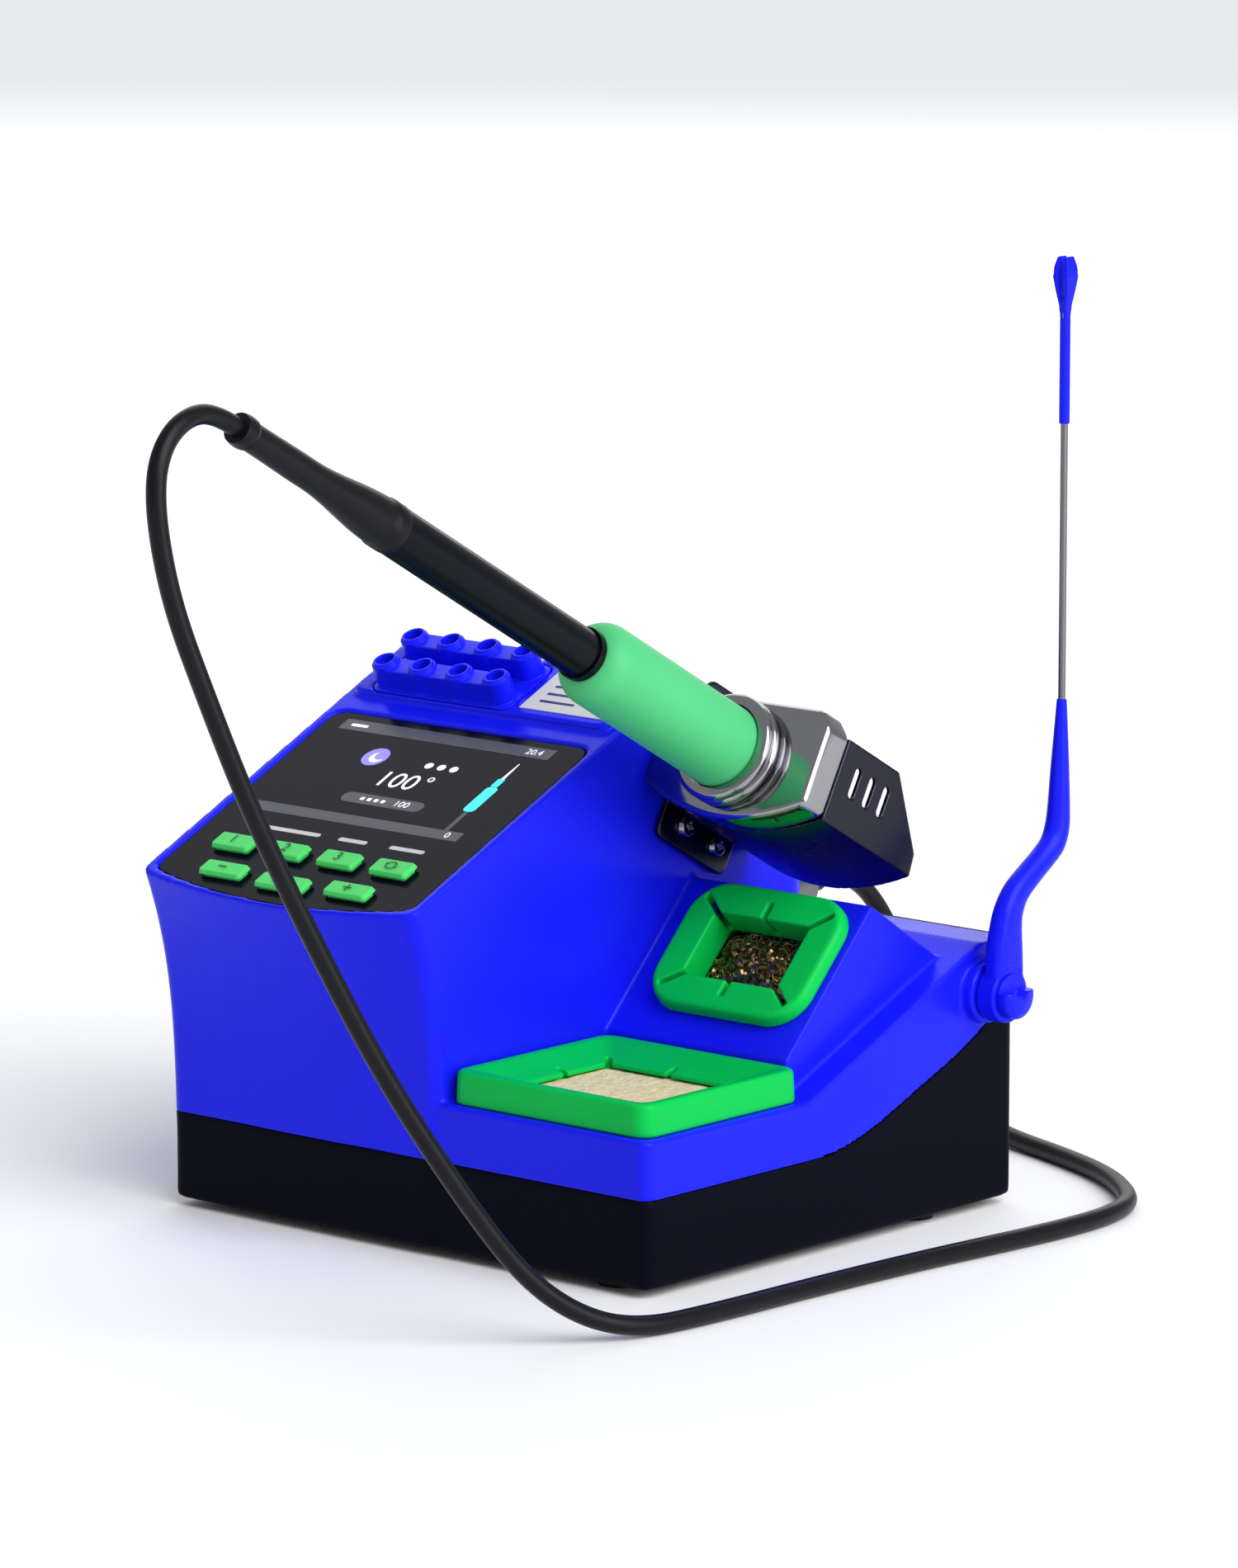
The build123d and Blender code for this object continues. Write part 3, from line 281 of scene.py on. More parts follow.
@dataclass(frozen=True)
class Silicone:
    """Soft silicone rubber: satin, a little dusty and slightly uneven."""

    name: str
    colour: Colour
    deep: Colour
    roughness: float = 0.46
    glow: float = 0.04
    shine: float = 0.25

    def make(self) -> bpy.types.Material:
        """Build the material."""
        paint = Paint(self.name)
        cloud = paint.noise(60.0, 3.0)
        fine = paint.noise(900.0, 2.0)
        paint.set(
            Base_Color=paint.mix(cloud, self.deep, self.colour),
            Roughness=(cloud - 0.5) * 0.16 + fine * 0.08 + (self.roughness - 0.04),
            Subsurface_Weight=self.glow,
            Subsurface_Scale=0.002,
            Specular_IOR_Level=self.shine,
        )
        paint.bump(fine, 0.00006, 0.5)
        return paint.material


@dataclass(frozen=True)
class Metal:
    """Metal with faint polishing lines and handling marks."""

    name: str
    colour: Colour
    roughness: float
    lines: float = 0.0
    smear: float = 0.06

    def make(self) -> bpy.types.Material:
        """Build the material."""
        paint = Paint(self.name)
        marks = paint.noise(90.0, 4.0)
        stretch = paint.node("ShaderNodeMapping", None, {"Vector": paint.where, "Scale": (1.0, 60.0, 1.0)})
        streak = paint.noise(260.0, 2.0, stretch.outputs["Vector"])
        paint.set(
            Base_Color=paint.mix(marks, tuple(c * 0.9 for c in self.colour), self.colour),
            Metallic=1.0,
            Roughness=(marks * self.smear + streak * self.lines + self.roughness).clamp(0.02, 1.0),
        )
        paint.bump(streak * self.lines + marks * 0.05, 0.00002, 0.35)
        return paint.material


@dataclass(frozen=True)
class Lit:
    """Lit or printed patch of the display."""

    name: str
    colour: Colour
    light: float = 0.6
    roughness: float = 0.4

    def make(self) -> bpy.types.Material:
        """Build the material."""
        paint = Paint(self.name)
        faint = paint.noise(400.0, 1.0)
        paint.set(
            Base_Color=paint.mix(faint, tuple(c * 0.94 for c in self.colour), self.colour),
            Emission_Color=(*self.colour, 1.0),
            Emission_Strength=self.light,
            Roughness=self.roughness,
        )
        return paint.material


@dataclass(frozen=True)
class Foam:
    """Open-cell cleaning sponge."""
    # Open-cell cleaning sponge, with painted shade darkening its pores.

    name: str
    colour: Colour
    deep: Colour

    def make(self) -> bpy.types.Material:
        """Build the material."""
        paint = Paint(self.name)
        pores = paint.cells(900.0)
        large = paint.cells(330.0)
        cloud = paint.noise(120.0, 4.0)
        depth = (pores * 0.6 + large * 0.9 + cloud * 0.5).clamp(0.0, 1.6)
        # Base colour darkens towards the pore bottoms, following the bump: painted shade in the pores.
        paint.set(
            Base_Color=paint.mix((depth * 0.75).clamp(), self.deep, self.colour),
            Roughness=0.92,
            Sheen_Weight=0.2,
        )
        paint.bump(depth, 0.0006, 0.8)
        return paint.material


class Finishes:
    """Every finish of the station, made once."""

    def __init__(self) -> None:
        """Build the materials."""
        self.blue = Moulded(
            "blue_moulding", (0.005, 0.012, 0.84), (0.007, 0.008, 0.79), 0.3, shine=0.13
        ).make()
        self.black = Moulded(
            "black_moulding", (0.0022, 0.0026, 0.0085), (0.0015, 0.0018, 0.006), 0.5, 0.00006, shine=0.035
        ).make()
        self.window = Moulded(
            "display_glass", (0.003, 0.0035, 0.009), (0.0025, 0.003, 0.008), 0.16, 0.0, 900.0, shine=0.04
        ).make()
        self.tube = Moulded(
            "handle_black", (0.002, 0.0025, 0.0055), (0.0015, 0.002, 0.0045), 0.24, 0.00002, shine=0.12
        ).make()
        self.key = Moulded(
            "key_green", (0.08, 0.72, 0.16), (0.07, 0.66, 0.14), 0.36, 0.00002, shine=0.15
        ).make()
        self.rubber = Silicone(
            "black_rubber", (0.003, 0.0032, 0.006), (0.002, 0.002, 0.004), 0.36, 0.0, 0.2
        ).make()
        self.green = Silicone(
            "green_rubber", (0.0015, 0.50, 0.075), (0.001, 0.45, 0.065), 0.38, 0.0, 0.1
        ).make()
        self.grip = Silicone(
            "pale_green_rubber", (0.07, 0.49, 0.185), (0.064, 0.46, 0.17), 0.5, 0.05, 0.25
        ).make()
        self.chrome = Metal("bright_chrome", (0.36, 0.36, 0.38), 0.07, 0.01, 0.04).make()
        self.sheet = Metal("dark_sheet", (0.035, 0.035, 0.05), 0.2, 0.06, 0.08).make()
        self.steel = Metal("drawn_steel", (0.20, 0.20, 0.21), 0.2, 0.1, 0.08).make()
        self.brass = Metal("brass_swarf", (0.30, 0.215, 0.10), 0.22, 0.1, 0.1).make()
        # The second colour is painted shade for the sponge's pore bottoms.
        self.foam = Foam("sponge_foam", (0.80, 0.68, 0.33), (0.62, 0.49, 0.20)).make()
        self.paper = Moulded("label_face", (0.60, 0.60, 0.63), (0.55, 0.55, 0.58), 0.5, 0.00001).make()
        self.ink = Moulded("label_ink", (0.02, 0.015, 0.16), (0.015, 0.012, 0.13), 0.45, 0.00001).make()
        self.legend = Moulded("key_ink", (0.010, 0.10, 0.022), (0.008, 0.085, 0.02), 0.5, 0.00001).make()
        self.board = Moulded("solder_mask", (0.02, 0.20, 0.07), (0.015, 0.16, 0.05), 0.35).make()
        self.core = Metal("core_iron", (0.16, 0.16, 0.17), 0.45, 0.2, 0.1).make()
        self.white_light = Lit("display_white", (0.80, 0.82, 0.88), 0.55).make()
        self.grey_light = Lit("display_grey", (0.04, 0.042, 0.06), 0.25).make()
        self.cyan_light = Lit("display_cyan", (0.02, 0.62, 0.66), 0.7).make()
        self.violet_light = Lit("display_violet", (0.20, 0.17, 0.75), 0.7).make()
        self.screen_light = Lit("display_dark", (0.007, 0.008, 0.016), 0.05, 0.2).make()
        self.mark = Lit("printed_white", (0.62, 0.62, 0.66), 0.0).make()


# ---------------------------------------------------------------- mesh helpers
def added(name: str, data: bpy.types.ID) -> bpy.types.Object:
    """Object of that name and data, linked into the scene."""
    thing = bpy.data.objects.new(name, data)
    bpy.context.scene.collection.objects.link(thing)
    return thing


def new_piece(name: str, mesh: bpy.types.Mesh, *materials: bpy.types.Material) -> bpy.types.Object:
    """Put a mesh in the scene under a name, with its materials.

    Args:
        name: Name of the piece.
        mesh: Its mesh, already in the station's frame.
        materials: Its materials, in slot order.

    Returns:
        The object.
    """
    mesh.name = name
    slots = np.empty(len(mesh.polygons), dtype=np.int32)
    mesh.polygons.foreach_get("material_index", slots)
    mesh.materials.clear()
    for material in materials:
        mesh.materials.append(material)
    mesh.polygons.foreach_set("material_index", slots)
    return added(name, mesh)


def mesh_from(
    points: list[Vector], faces: list[tuple[int, ...]], place: Matrix | None = None
) -> bpy.types.Mesh:
    """Mesh of points and faces, with doubles merged and faces turned outwards."""
    mesh = bpy.data.meshes.new("work")
    mesh.from_pydata([tuple(p) for p in points], [], faces)
    work = bmesh.new()
    work.from_mesh(mesh)
    bmesh.ops.remove_doubles(work, verts=work.verts, dist=1e-6)
    bmesh.ops.recalc_face_normals(work, faces=work.faces)
    work.to_mesh(mesh)
    work.free()
    if place is not None:
        mesh.transform(place)
    return mesh


def smooth(mesh: bpy.types.Mesh, angle: float = 40.0) -> bpy.types.Mesh:
    """Shade a mesh smooth with sharp edges past an angle in degrees."""
    mesh.shade_smooth()
    mesh.set_sharp_from_angle(angle=math.radians(angle))
    return mesh


def plan_ring(half_width: float, half_depth: float, radius: float, steps: int = 8) -> Outline:
    """Outline of a rounded rectangle, anticlockwise.

    Args:
        half_width: Half its size along x.
        half_depth: Half its size along y.
        radius: Corner radius.
        steps: Segments in each corner.

    Returns:
        The outline's points.
    """
    radius = min(radius, half_width - 1e-4, half_depth - 1e-4)
    outline = []
    corners = ((1, 1, 0), (-1, 1, 90), (-1, -1, 180), (1, -1, 270))
    for sign_x, sign_y, start in corners:
        for step in range(steps + 1):
            angle = math.radians(start + 90 * step / steps)
            outline.append(
                (
                    sign_x * (half_width - radius) + radius * math.cos(angle),
                    sign_y * (half_depth - radius) + radius * math.sin(angle),
                )
            )
    return outline


def round_profile(
    profile: list[Ring], radii: list[float], steps: int = 4
) -> list[Ring]:
    """Round the corners of a ring profile.

    Args:
        profile: Half width, half depth, corner radius and height of each ring.
        radii: Rounding at each ring, 0 to keep it sharp.
        steps: Segments of each rounding.

    Returns:
        The rings with the roundings put in.
    """
    rings = []
    for index, corner in enumerate(profile):
        if radii[index] <= 0 or index in (0, len(profile) - 1):
            rings.append(corner)
            continue
        here = np.array(corner)
        ends = []
        for other in (profile[index - 1], profile[index + 1]):
            way = np.array(other) - here
            length = max(math.hypot(way[0], way[3]), math.hypot(way[1], way[3]), 1e-6)
            ends.append(here + way * min(radii[index] / length, 0.49))
        for step in range(steps + 1):
            t = step / steps
            rings.append(tuple((1 - t) ** 2 * ends[0] + 2 * t * (1 - t) * here + t * t * ends[1]))
    return rings


def tube_faces(rings: int, count: int) -> list[tuple[int, ...]]:
    """Faces through a number of rings with the same count of points, capped at both ends."""
    faces: list[tuple[int, ...]] = []
    for low in range(0, (rings - 1) * count, count):
        for index in range(count):
            after = (index + 1) % count
            faces.append((low + index, low + after, low + count + after, low + count + index))
    faces.append(tuple(reversed(range(count))))
    last = (rings - 1) * count
    faces.append(tuple(range(last, last + count)))
    return faces


def ring_solid(rings: list[Ring], place: Matrix, steps: int = 8) -> bpy.types.Mesh:
    """Closed mesh through a run of rounded-rectangle rings, capped at both ends."""
    points: list[Vector] = []
    for half_width, half_depth, radius, height in rings:
        outline = plan_ring(half_width, half_depth, radius, steps)
        points += [Vector((x, y, height)) for x, y in outline]
    return mesh_from(points, tube_faces(len(rings), 4 * (steps + 1)), place)


def lathe(profile: Outline, place: Matrix, steps: int = 48) -> bpy.types.Mesh:
    """Closed solid of revolution about local z.

    Args:
        profile: Radius and height of each ring, from one end to the other.
        place: Frame of the solid.
        steps: Segments round the axis.

    Returns:
        The mesh, with flat caps where an end's radius isn't 0.
    """
    points: list[Vector] = []
    for radius, height in profile:
        for step in range(steps):
            angle = 2 * math.pi * step / steps
            points.append(Vector((radius * math.cos(angle), radius * math.sin(angle), height)))
    return mesh_from(points, tube_faces(len(profile), steps), place)


def plate(outline: Outline, low: float, high: float, place: Matrix) -> bpy.types.Mesh:
    """Flat plate of an outline between two heights of a frame."""
    count = len(outline)
    points = [Vector((x, y, low)) for x, y in outline] + [Vector((x, y, high)) for x, y in outline]
    faces = [tuple(reversed(range(count))), tuple(range(count, 2 * count))]
    faces += [(i, (i + 1) % count, count + (i + 1) % count, count + i) for i in range(count)]
    return mesh_from(points, faces, place)


def joined(meshes: list[bpy.types.Mesh], slots: list[int] | None = None) -> bpy.types.Mesh:
    """One mesh from several, with each one's faces in its material slot."""
    work = bmesh.new()
    for index, mesh in enumerate(meshes):
        start = len(work.faces)
        work.from_mesh(mesh)
        work.faces.ensure_lookup_table()
        for face in work.faces[start:]:
            face.material_index = slots[index] if slots else 0
    result = bpy.data.meshes.new("joined")
    work.to_mesh(result)
    work.free()
    return result


def settled(piece: bpy.types.Object) -> bpy.types.Mesh:
    """Mesh of an object with its modifiers worked out; the object itself is removed."""
    bpy.context.view_layer.update()
    graph = bpy.context.evaluated_depsgraph_get()
    mesh = bpy.data.meshes.new_from_object(piece.evaluated_get(graph), depsgraph=graph)
    bpy.data.objects.remove(piece)
    return mesh


def merged_copy(node: str) -> bpy.types.Mesh:
    """Copy of a CAD node's mesh with its loose triangles joined."""
    mesh = NODES[node].data.copy()
    work = bmesh.new()
    work.from_mesh(mesh)
    bmesh.ops.remove_doubles(work, verts=work.verts, dist=1e-7)
    work.to_mesh(mesh)
    work.free()
    return mesh


def cut(mesh: bpy.types.Mesh, cutters: list[bpy.types.Mesh], operation: str = "DIFFERENCE") -> bpy.types.Mesh:
    """Mesh after an exact boolean with some cutters."""
    base = new_piece("cut_base", mesh)
    tool = new_piece("cut_tool", joined(cutters))
    change = base.modifiers.new("cut", "BOOLEAN")
    change.operation = operation
    change.solver = "EXACT"
    change.use_self = operation == "UNION"
    change.object = tool
    result = settled(base)
    bpy.data.objects.remove(tool)
    return result


@dataclass(frozen=True)
class Softening:
    """How a moulded part's edges are rounded: remesh, relax and thin out."""

    voxel: float
    passes: int
    triangles: int

    def apply(self, mesh: bpy.types.Mesh, keep: BVHTree | None = None, reach: float = 0.0) -> bpy.types.Mesh:
        """Round a mesh's edges.

        Args:
            mesh: Closed mesh.
            keep: Surface whose neighbourhood stays as it is.
            reach: Size of that neighbourhood, in metres.

        Returns:
            The rounded mesh.
        """
        coarse = 1.0
        work = new_piece("soften", mesh)
        remesh = work.modifiers.new("voxels", "REMESH")
        remesh.mode = "VOXEL"
        remesh.voxel_size = self.voxel * coarse * MM
        rounded = settled(work)
        self.relax(rounded, keep, reach, max(2, round(self.passes / coarse**2)))
        faces = sum(len(p.vertices) - 2 for p in rounded.polygons)
        if faces > self.triangles:
            thin = new_piece("thin", rounded)
            reduce = thin.modifiers.new("reduce", "DECIMATE")
            reduce.ratio = self.triangles / faces
            rounded = settled(thin)
        return rounded

    @staticmethod
    def relax(mesh: bpy.types.Mesh, keep: BVHTree | None, reach: float, passes: int) -> None:
        """Move each point towards its neighbours' mean, apart from those near the kept surface."""
        count = len(mesh.vertices)
        places = np.empty(count * 3)
        mesh.vertices.foreach_get("co", places)
        places = places.reshape(-1, 3)
        edges = np.empty(len(mesh.edges) * 2, dtype=np.int64)
        mesh.edges.foreach_get("vertices", edges)
        first, second = edges.reshape(-1, 2).T
        degree = np.maximum(np.bincount(edges, minlength=count), 1)
        share = np.full(count, 0.5)
        if keep is not None:
            for index, place in enumerate(places):
                near = keep.find_nearest(place, reach)
                if near[0] is not None:
                    share[index] = 0.5 * max(0.0, near[3] / reach - 0.35)
        for _ in range(passes):
            mean = np.empty_like(places)
            for axis in range(3):
                total = np.bincount(first, places[second, axis], count)
                total += np.bincount(second, places[first, axis], count)
                mean[:, axis] = total / degree
            places += share[:, None] * (mean - places)
        mesh.vertices.foreach_set("co", places.ravel())
        mesh.update()


def place_piece(piece: bpy.types.Object, body: str, slot: Slot, *nodes: str) -> bpy.types.Object:
    """Tie a finished piece to its body and hide the CAD nodes it stands for."""
    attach(piece, body)
    if nodes:
        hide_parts(*nodes)
    LOG.info("%s rides on %s", piece.name, body)
    return piece


def put(
    name: str, mesh: bpy.types.Mesh, finish: bpy.types.Material, body: str, slot: Slot, *nodes: str
) -> bpy.types.Object:
    """Make a piece of one finish and place it."""
    return place_piece(new_piece(name, mesh, finish), body, slot, *nodes)


def dress(material: bpy.types.Material, *nodes: str) -> None:
    """Give CAD nodes a material."""
    for node in nodes:
        NODES[node].data.materials.clear()
        NODES[node].data.materials.append(material)
        LOG.info("%s is dressed in %s", node, material.name)


# ---------------------------------------------------------------- studio
@dataclass
class Studio:
    """Camera, lights and bench."""

    eye: Point = (1.3424, -1.5244, 0.4719)
    azimuth: float = 41.191
    elevation: float = 10.297
    lens: float = 197.85
    bench: float = 14.0

    def build(self) -> None:
        """Make the camera, the lights and the bench."""
        self.camera()
        self.sun()
        self.softbox("side", (1.6, 0.1, 0.6), 1.2, 12.0)
        self.softbox("rim", (-1.2, 1.5, 1.3), 2.0, 16.0)
        self.world()
        self.floor()

    def camera(self) -> None:
        """Place the camera."""
        data = bpy.data.cameras.new("camera")
        data.lens = self.lens
        data.clip_end = 50.0
        camera = added("camera", data)
        turn, rise = math.radians(self.azimuth), math.radians(self.elevation)
        camera.location = self.eye
        camera.rotation_euler = (math.pi / 2 - rise, 0.0, turn)
        bpy.context.scene.camera = camera

    def softbox(self, name: str, place: Point, size: float, power: float) -> None:
        """Hang one square soft light that faces the station."""
        data = bpy.data.lights.new(name, "AREA")
        data.shape = "SQUARE"
        data.size = size
        data.energy = power
        light = added(name, data)
        light.location = place
        aim = Vector((0.0, 0.0, 0.08)) - Vector(place)
        light.rotation_euler = aim.to_track_quat("-Z", "Y").to_euler()

    def sun(self) -> None:
        """Broad even light from the upper right front."""
        data = bpy.data.lights.new("sun", "SUN")
        data.energy = 2.3
        data.angle = math.radians(50.0)
        light = added("sun", data)
        aim = Vector((-0.85, 0.20, -0.80))
        light.rotation_euler = aim.to_track_quat("-Z", "Y").to_euler()

    def world(self) -> None:
        """Even pale surroundings and plain colours."""
        world = bpy.data.worlds.new("studio")
        world.use_nodes = True
        back = world.node_tree.nodes["Background"]
        back.inputs["Color"].default_value = (0.95, 0.97, 1.0, 1.0)
        back.inputs["Strength"].default_value = 0.44
        bpy.context.scene.world = world
        bpy.context.scene.view_settings.view_transform = "Standard"

    def floor(self) -> None:
        """Pale bench that the station stands on."""
        half = self.bench
        signs = ((-1, -1), (1, -1), (1, 1), (-1, 1))
        corners = [Vector((a * half, b * half, 0.0)) for a, b in signs]
        mesh = bpy.data.meshes.new("bench")
        mesh.from_pydata([tuple(c) for c in corners], [], [(0, 1, 2, 3)])
        paint = Paint("pale_bench")
        faint = paint.noise(3.0, 2.0)
        paint.set(Base_Color=paint.mix(faint, (0.90, 0.90, 0.90), (0.92, 0.92, 0.92)), Roughness=0.8)
        new_piece("bench", mesh, paint.material)


# ---------------------------------------------------------------- the iron's cord
@dataclass
class IronCord:
    """The iron's cable, from its boot round the front and the right side to the rear socket."""

    diameter: float = 4.6 * MM
    start_fixed: float = 0.10
    start_moving: float = 0.262

    def route(self) -> list[Point]:
        """Points that the cable bends towards, in metres."""
        low = 0.0024
        return [
            (0.0380, -0.16203, 0.20953),
            (0.0380, -0.16943, 0.21372),
            (0.0382, -0.1782, 0.2135),
            (0.0387, -0.1855, 0.2088),
            (0.0393, -0.1893, 0.2009),
            (0.0405, -0.1896, 0.1885),
            (0.0426, -0.1870, 0.1720),
            (0.0460, -0.1815, 0.1540),
            (0.0510, -0.1730, 0.1280),
            (0.0580, -0.1610, 0.0980),
            (0.0670, -0.1470, 0.0650),
            (0.0765, -0.1330, 0.0380),
            (0.0850, -0.1205, 0.0170),
            (0.0920, -0.1085, 0.0065),
            (0.0980, -0.0950, low),
            (0.1006, -0.0730, low),
            (0.1015, -0.0380, low),
            (0.1036, -0.0020, low),
            (0.1070, 0.0280, low),
            (0.1086, 0.0480, low),
            (0.1080, 0.0640, low),
            (0.1040, 0.0770, low),
            (0.0950, 0.0870, low),
            (0.0810, 0.0975, low),
            (0.0620, 0.1060, low),
            (0.0410, 0.1130, low),
            (0.0240, 0.1190, 0.0036),
            (0.0120, 0.1235, 0.0115),
            (0.0045, 0.1240, 0.0240),
            (0.0004, 0.1185, 0.0400),
            (-0.0012, 0.1120, 0.0535),
            (-0.0018, 0.1045, 0.0625),
            (-0.0020, 0.0950, 0.0675),
            (-0.0020, 0.08575, 0.0675),
        ]

    def line(self) -> list[Vector]:
        """Points of the cable's smooth centreline."""
        curve = bpy.data.curves.new("cord_line", "CURVE")
        curve.dimensions = "3D"
        spline = curve.splines.new("NURBS")
        route = self.route()
        spline.points.add(len(route) - 1)
        for point, place in zip(spline.points, route):
            point.co = (*place, 1.0)
        spline.order_u = 3
        spline.use_endpoint_u = True
        spline.resolution_u = 10
        carrier = added("cord_line", curve)
        mesh = settled(carrier)
        places = [vertex.co.copy() for vertex in mesh.vertices]
        line = [places[0]]
        for place in places[1:]:
            if (place - line[-1]).length > 0.0008:
                line.append(place)
        return line

    def build(self, finishes: Finishes) -> None:
        """Make the cable as a tube along its line."""
        line = self.line()
        steps = 20
        radius = self.diameter / 2
        points: list[Vector] = []
        side = Vector((1.0, 0.0, 0.0))
        for index, place in enumerate(line):
            ahead = line[min(index + 1, len(line) - 1)] - line[max(index - 1, 0)]
            ahead.normalize()
            side = (side - ahead * side.dot(ahead)).normalized()
            across = ahead.cross(side)
            for step in range(steps):
                angle = 2 * math.pi * step / steps
                points.append(place + radius * (math.cos(angle) * side + math.sin(angle) * across))
        tube = mesh_from(points, tube_faces(len(line), steps))
        piece = new_piece("iron_cable", smooth(tube, 60), finishes.rubber)
        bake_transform(piece)
        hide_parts("iron_cord")
        length = sum((b - a).length for a, b in zip(line, line[1:]))
        LOG.info("iron_cable is %.3f m long", length)


# ---------------------------------------------------------------- housings
@dataclass
class Housings:
    """Black lower shell, blue upper shell and the tip rack between them."""

    upper: Softening = Softening(0.5, 4, 190000)
    lower: Softening = Softening(0.8, 8, 90000)
    rack: Softening = Softening(0.16, 3, 90000)

    @staticmethod
    def surface(node: str) -> BVHTree:
        """Search tree of a CAD node's surface."""
        work = bmesh.new()
        work.from_mesh(NODES[node].data)
        tree = BVHTree.FromBMesh(work)
        work.free()
        return tree

    def build(self, finishes: Finishes) -> None:
        """Make the shells with the line between them kept crisp, then the rack."""
        reach = 1.6 * MM
        shell = self.upper.apply(merged_copy("upper_housing"), self.surface("lower_housing"), reach)
        put("upper_shell", smooth(shell, 50), finishes.blue, "base", Slot.BLUE, "upper_housing")
        shell = self.lower.apply(merged_copy("lower_housing"), self.surface("upper_housing"), reach)
        put("lower_shell", smooth(shell, 50), finishes.black, "base", Slot.BLACK, "lower_housing")
        rack = self.rack.apply(merged_copy("tip_rack"))
        put("rack_body", smooth(rack, 50), finishes.blue, "base", Slot.BLUE, "tip_rack")


# ---------------------------------------------------------------- display
@dataclass
class Display:
    """Glass, lit content, printed marks and keys of the sloping panel."""

    glass: float = -0.5
    print_rise: float = 0.03
    gap: float = 0.005
    sign_low: float = 1.735
    label_face: float = 2.26

    def sticker(self, outline: Outline, lift: float = 0.0) -> bpy.types.Mesh:
        """Thin printed patch on the glass."""
        low = self.glass + self.gap + lift
        return plate(outline, low, low + self.print_rise, PANEL)

    @staticmethod
    def box(x: float, y: float, width: float, height: float, radius: float = 0.3) -> Outline:
        """Rounded rectangle about a centre."""
        return [(x + a, y + b) for a, b in plan_ring(width / 2, height / 2, radius, 4)]

    @staticmethod
    def disc(x: float, y: float, radius: float, steps: int = 32) -> Outline:
        """Circle about a centre."""
        return [
            (x + radius * math.cos(2 * math.pi * i / steps), y + radius * math.sin(2 * math.pi * i / steps))
            for i in range(steps)
        ]

    @staticmethod
    def words(text: str, x: float, y: float, size: float, low: float, high: float) -> bpy.types.Mesh:
        """Figures or signs as a thin solid on the panel.

        Args:
            text: What to write.
            x: Middle of the writing across the panel.
            y: Its middle up the slope.
            size: Height of the type, in millimetres.
            low: Underside, above the panel plane.
            high: Upper side.

        Returns:
            The mesh.
        """
        curve = bpy.data.curves.new("writing", "FONT")
        curve.body = text
        curve.size = size
        curve.align_x = "CENTER"
        curve.align_y = "CENTER"
        curve.extrude = (high - low) / 2
        carrier = added("writing", curve)
        mesh = settled(carrier)
        mesh.transform(PANEL @ Matrix.Translation((x, y, (low + high) / 2)))
        return mesh

    def content(self, finishes: Finishes) -> None:
        """Lit content of the screen: bars, moon, figures, pill and a small picture of the iron."""
        white, grey, cyan, violet, dark = range(5)
        over = 0.04  # rise of what lies on another patch
        low = self.glass + self.gap
        bar, patch, write = self.box, self.sticker, self.words
        flat = (low, low + self.print_rise)
        lifted = (low + over, low + over + self.print_rise)
        shaft = [(25.7, -19.4), (26.7, -19.4), (26.35, -12.4), (26.05, -12.4)]
        parts: list[tuple[bpy.types.Mesh, int]] = [
            (patch(bar(-1.5, -7.2, 68.0, 4.2, 0.2)), grey),
            (patch(bar(-1.5, -43.4, 68.0, 3.6, 0.2)), grey),
            (patch(bar(0.5, -34.8, 26.0, 4.0, 2.0)), grey),
            (patch(self.disc(-15.6, -18.2, 3.7)), violet),
            (patch(self.disc(-15.0, -18.4, 2.1), over), white),
            (patch(self.disc(-14.3, -17.6, 1.7), 2 * over), violet),
            (write("100", -2.0, -26.2, 8.6, *flat), white),
            (patch(self.disc(7.0, -23.6, 1.0)), white),
            (patch(self.disc(7.0, -23.6, 0.6), over), dark),
            (write("100", 6.6, -34.8, 3.2, *lifted), white),
            (patch(bar(-30.0, -7.2, 5.4, 1.0, 0.4), over), white),
            (write("20.4", 26.8, -7.2, 3.0, *lifted), white),
            (write("0", 28.4, -43.4, 3.0, *lifted), white),
            *[(patch(bar(2.0 + i * 4.0, -18.4, 2.4, 2.4, 1.2)), white) for i in range(3)],
            *[(patch(bar(-6.0 + i * 2.2, -34.8, 1.2, 1.2, 0.2), over), white) for i in range(4)],
            (patch(bar(26.4, -28.0, 3.6, 10.6, 1.2)), cyan),
            (patch(bar(26.2, -20.9, 2.2, 3.4, 0.3), over), cyan),
            (patch(shaft), white),
            (patch(bar(26.5, -37.6, 1.3, 8.6, 0.4)), grey),
        ]
        mesh = joined([part for part, _ in parts], [slot for _, slot in parts])
        piece = new_piece(
            "screen_content",
            mesh,
            finishes.white_light,
            finishes.grey_light,
            finishes.cyan_light,
            finishes.violet_light,
            finishes.screen_light,
        )
        place_piece(piece, "base", Slot.GLOSS)

    def print(self, finishes: Finishes) -> None:
        """Three plain white bars between the screen and the keys."""
        bars = [(-17.0, 22.0), (4.6, 9.0), (22.0, 11.0)]
        parts = [self.sticker(self.box(x, -51.2, width, 1.4, 0.6)) for x, width in bars]
        put("panel_print", joined(parts), finishes.mark, "base", Slot.LABEL)

    def keys(self, finishes: Finishes) -> None:
        """Keys with soft edges and a printed sign on each."""
        soft = Softening(0.12, 3, 12000)
        places = {
            "button_1": (-25.6, -60.3),
            "button_2": (-8.6, -60.3),
            "button_3": (8.4, -60.3),
            "button_cycle": (25.4, -60.3),
            "button_minus": (-20.0, -71.0),
            "button_menu": (0.2, -72.2),
            "button_plus": (20.4, -71.0),
        }
        for name, (x, y) in places.items():
            shape = soft.apply(merged_copy(name))
            put(f"{name}_cap", smooth(shape, 50), finishes.key, f"{name}_body", Slot.KEY, name)
            put(f"{name}_sign", self.sign(name, x, y), finishes.legend, f"{name}_body", Slot.KEY)

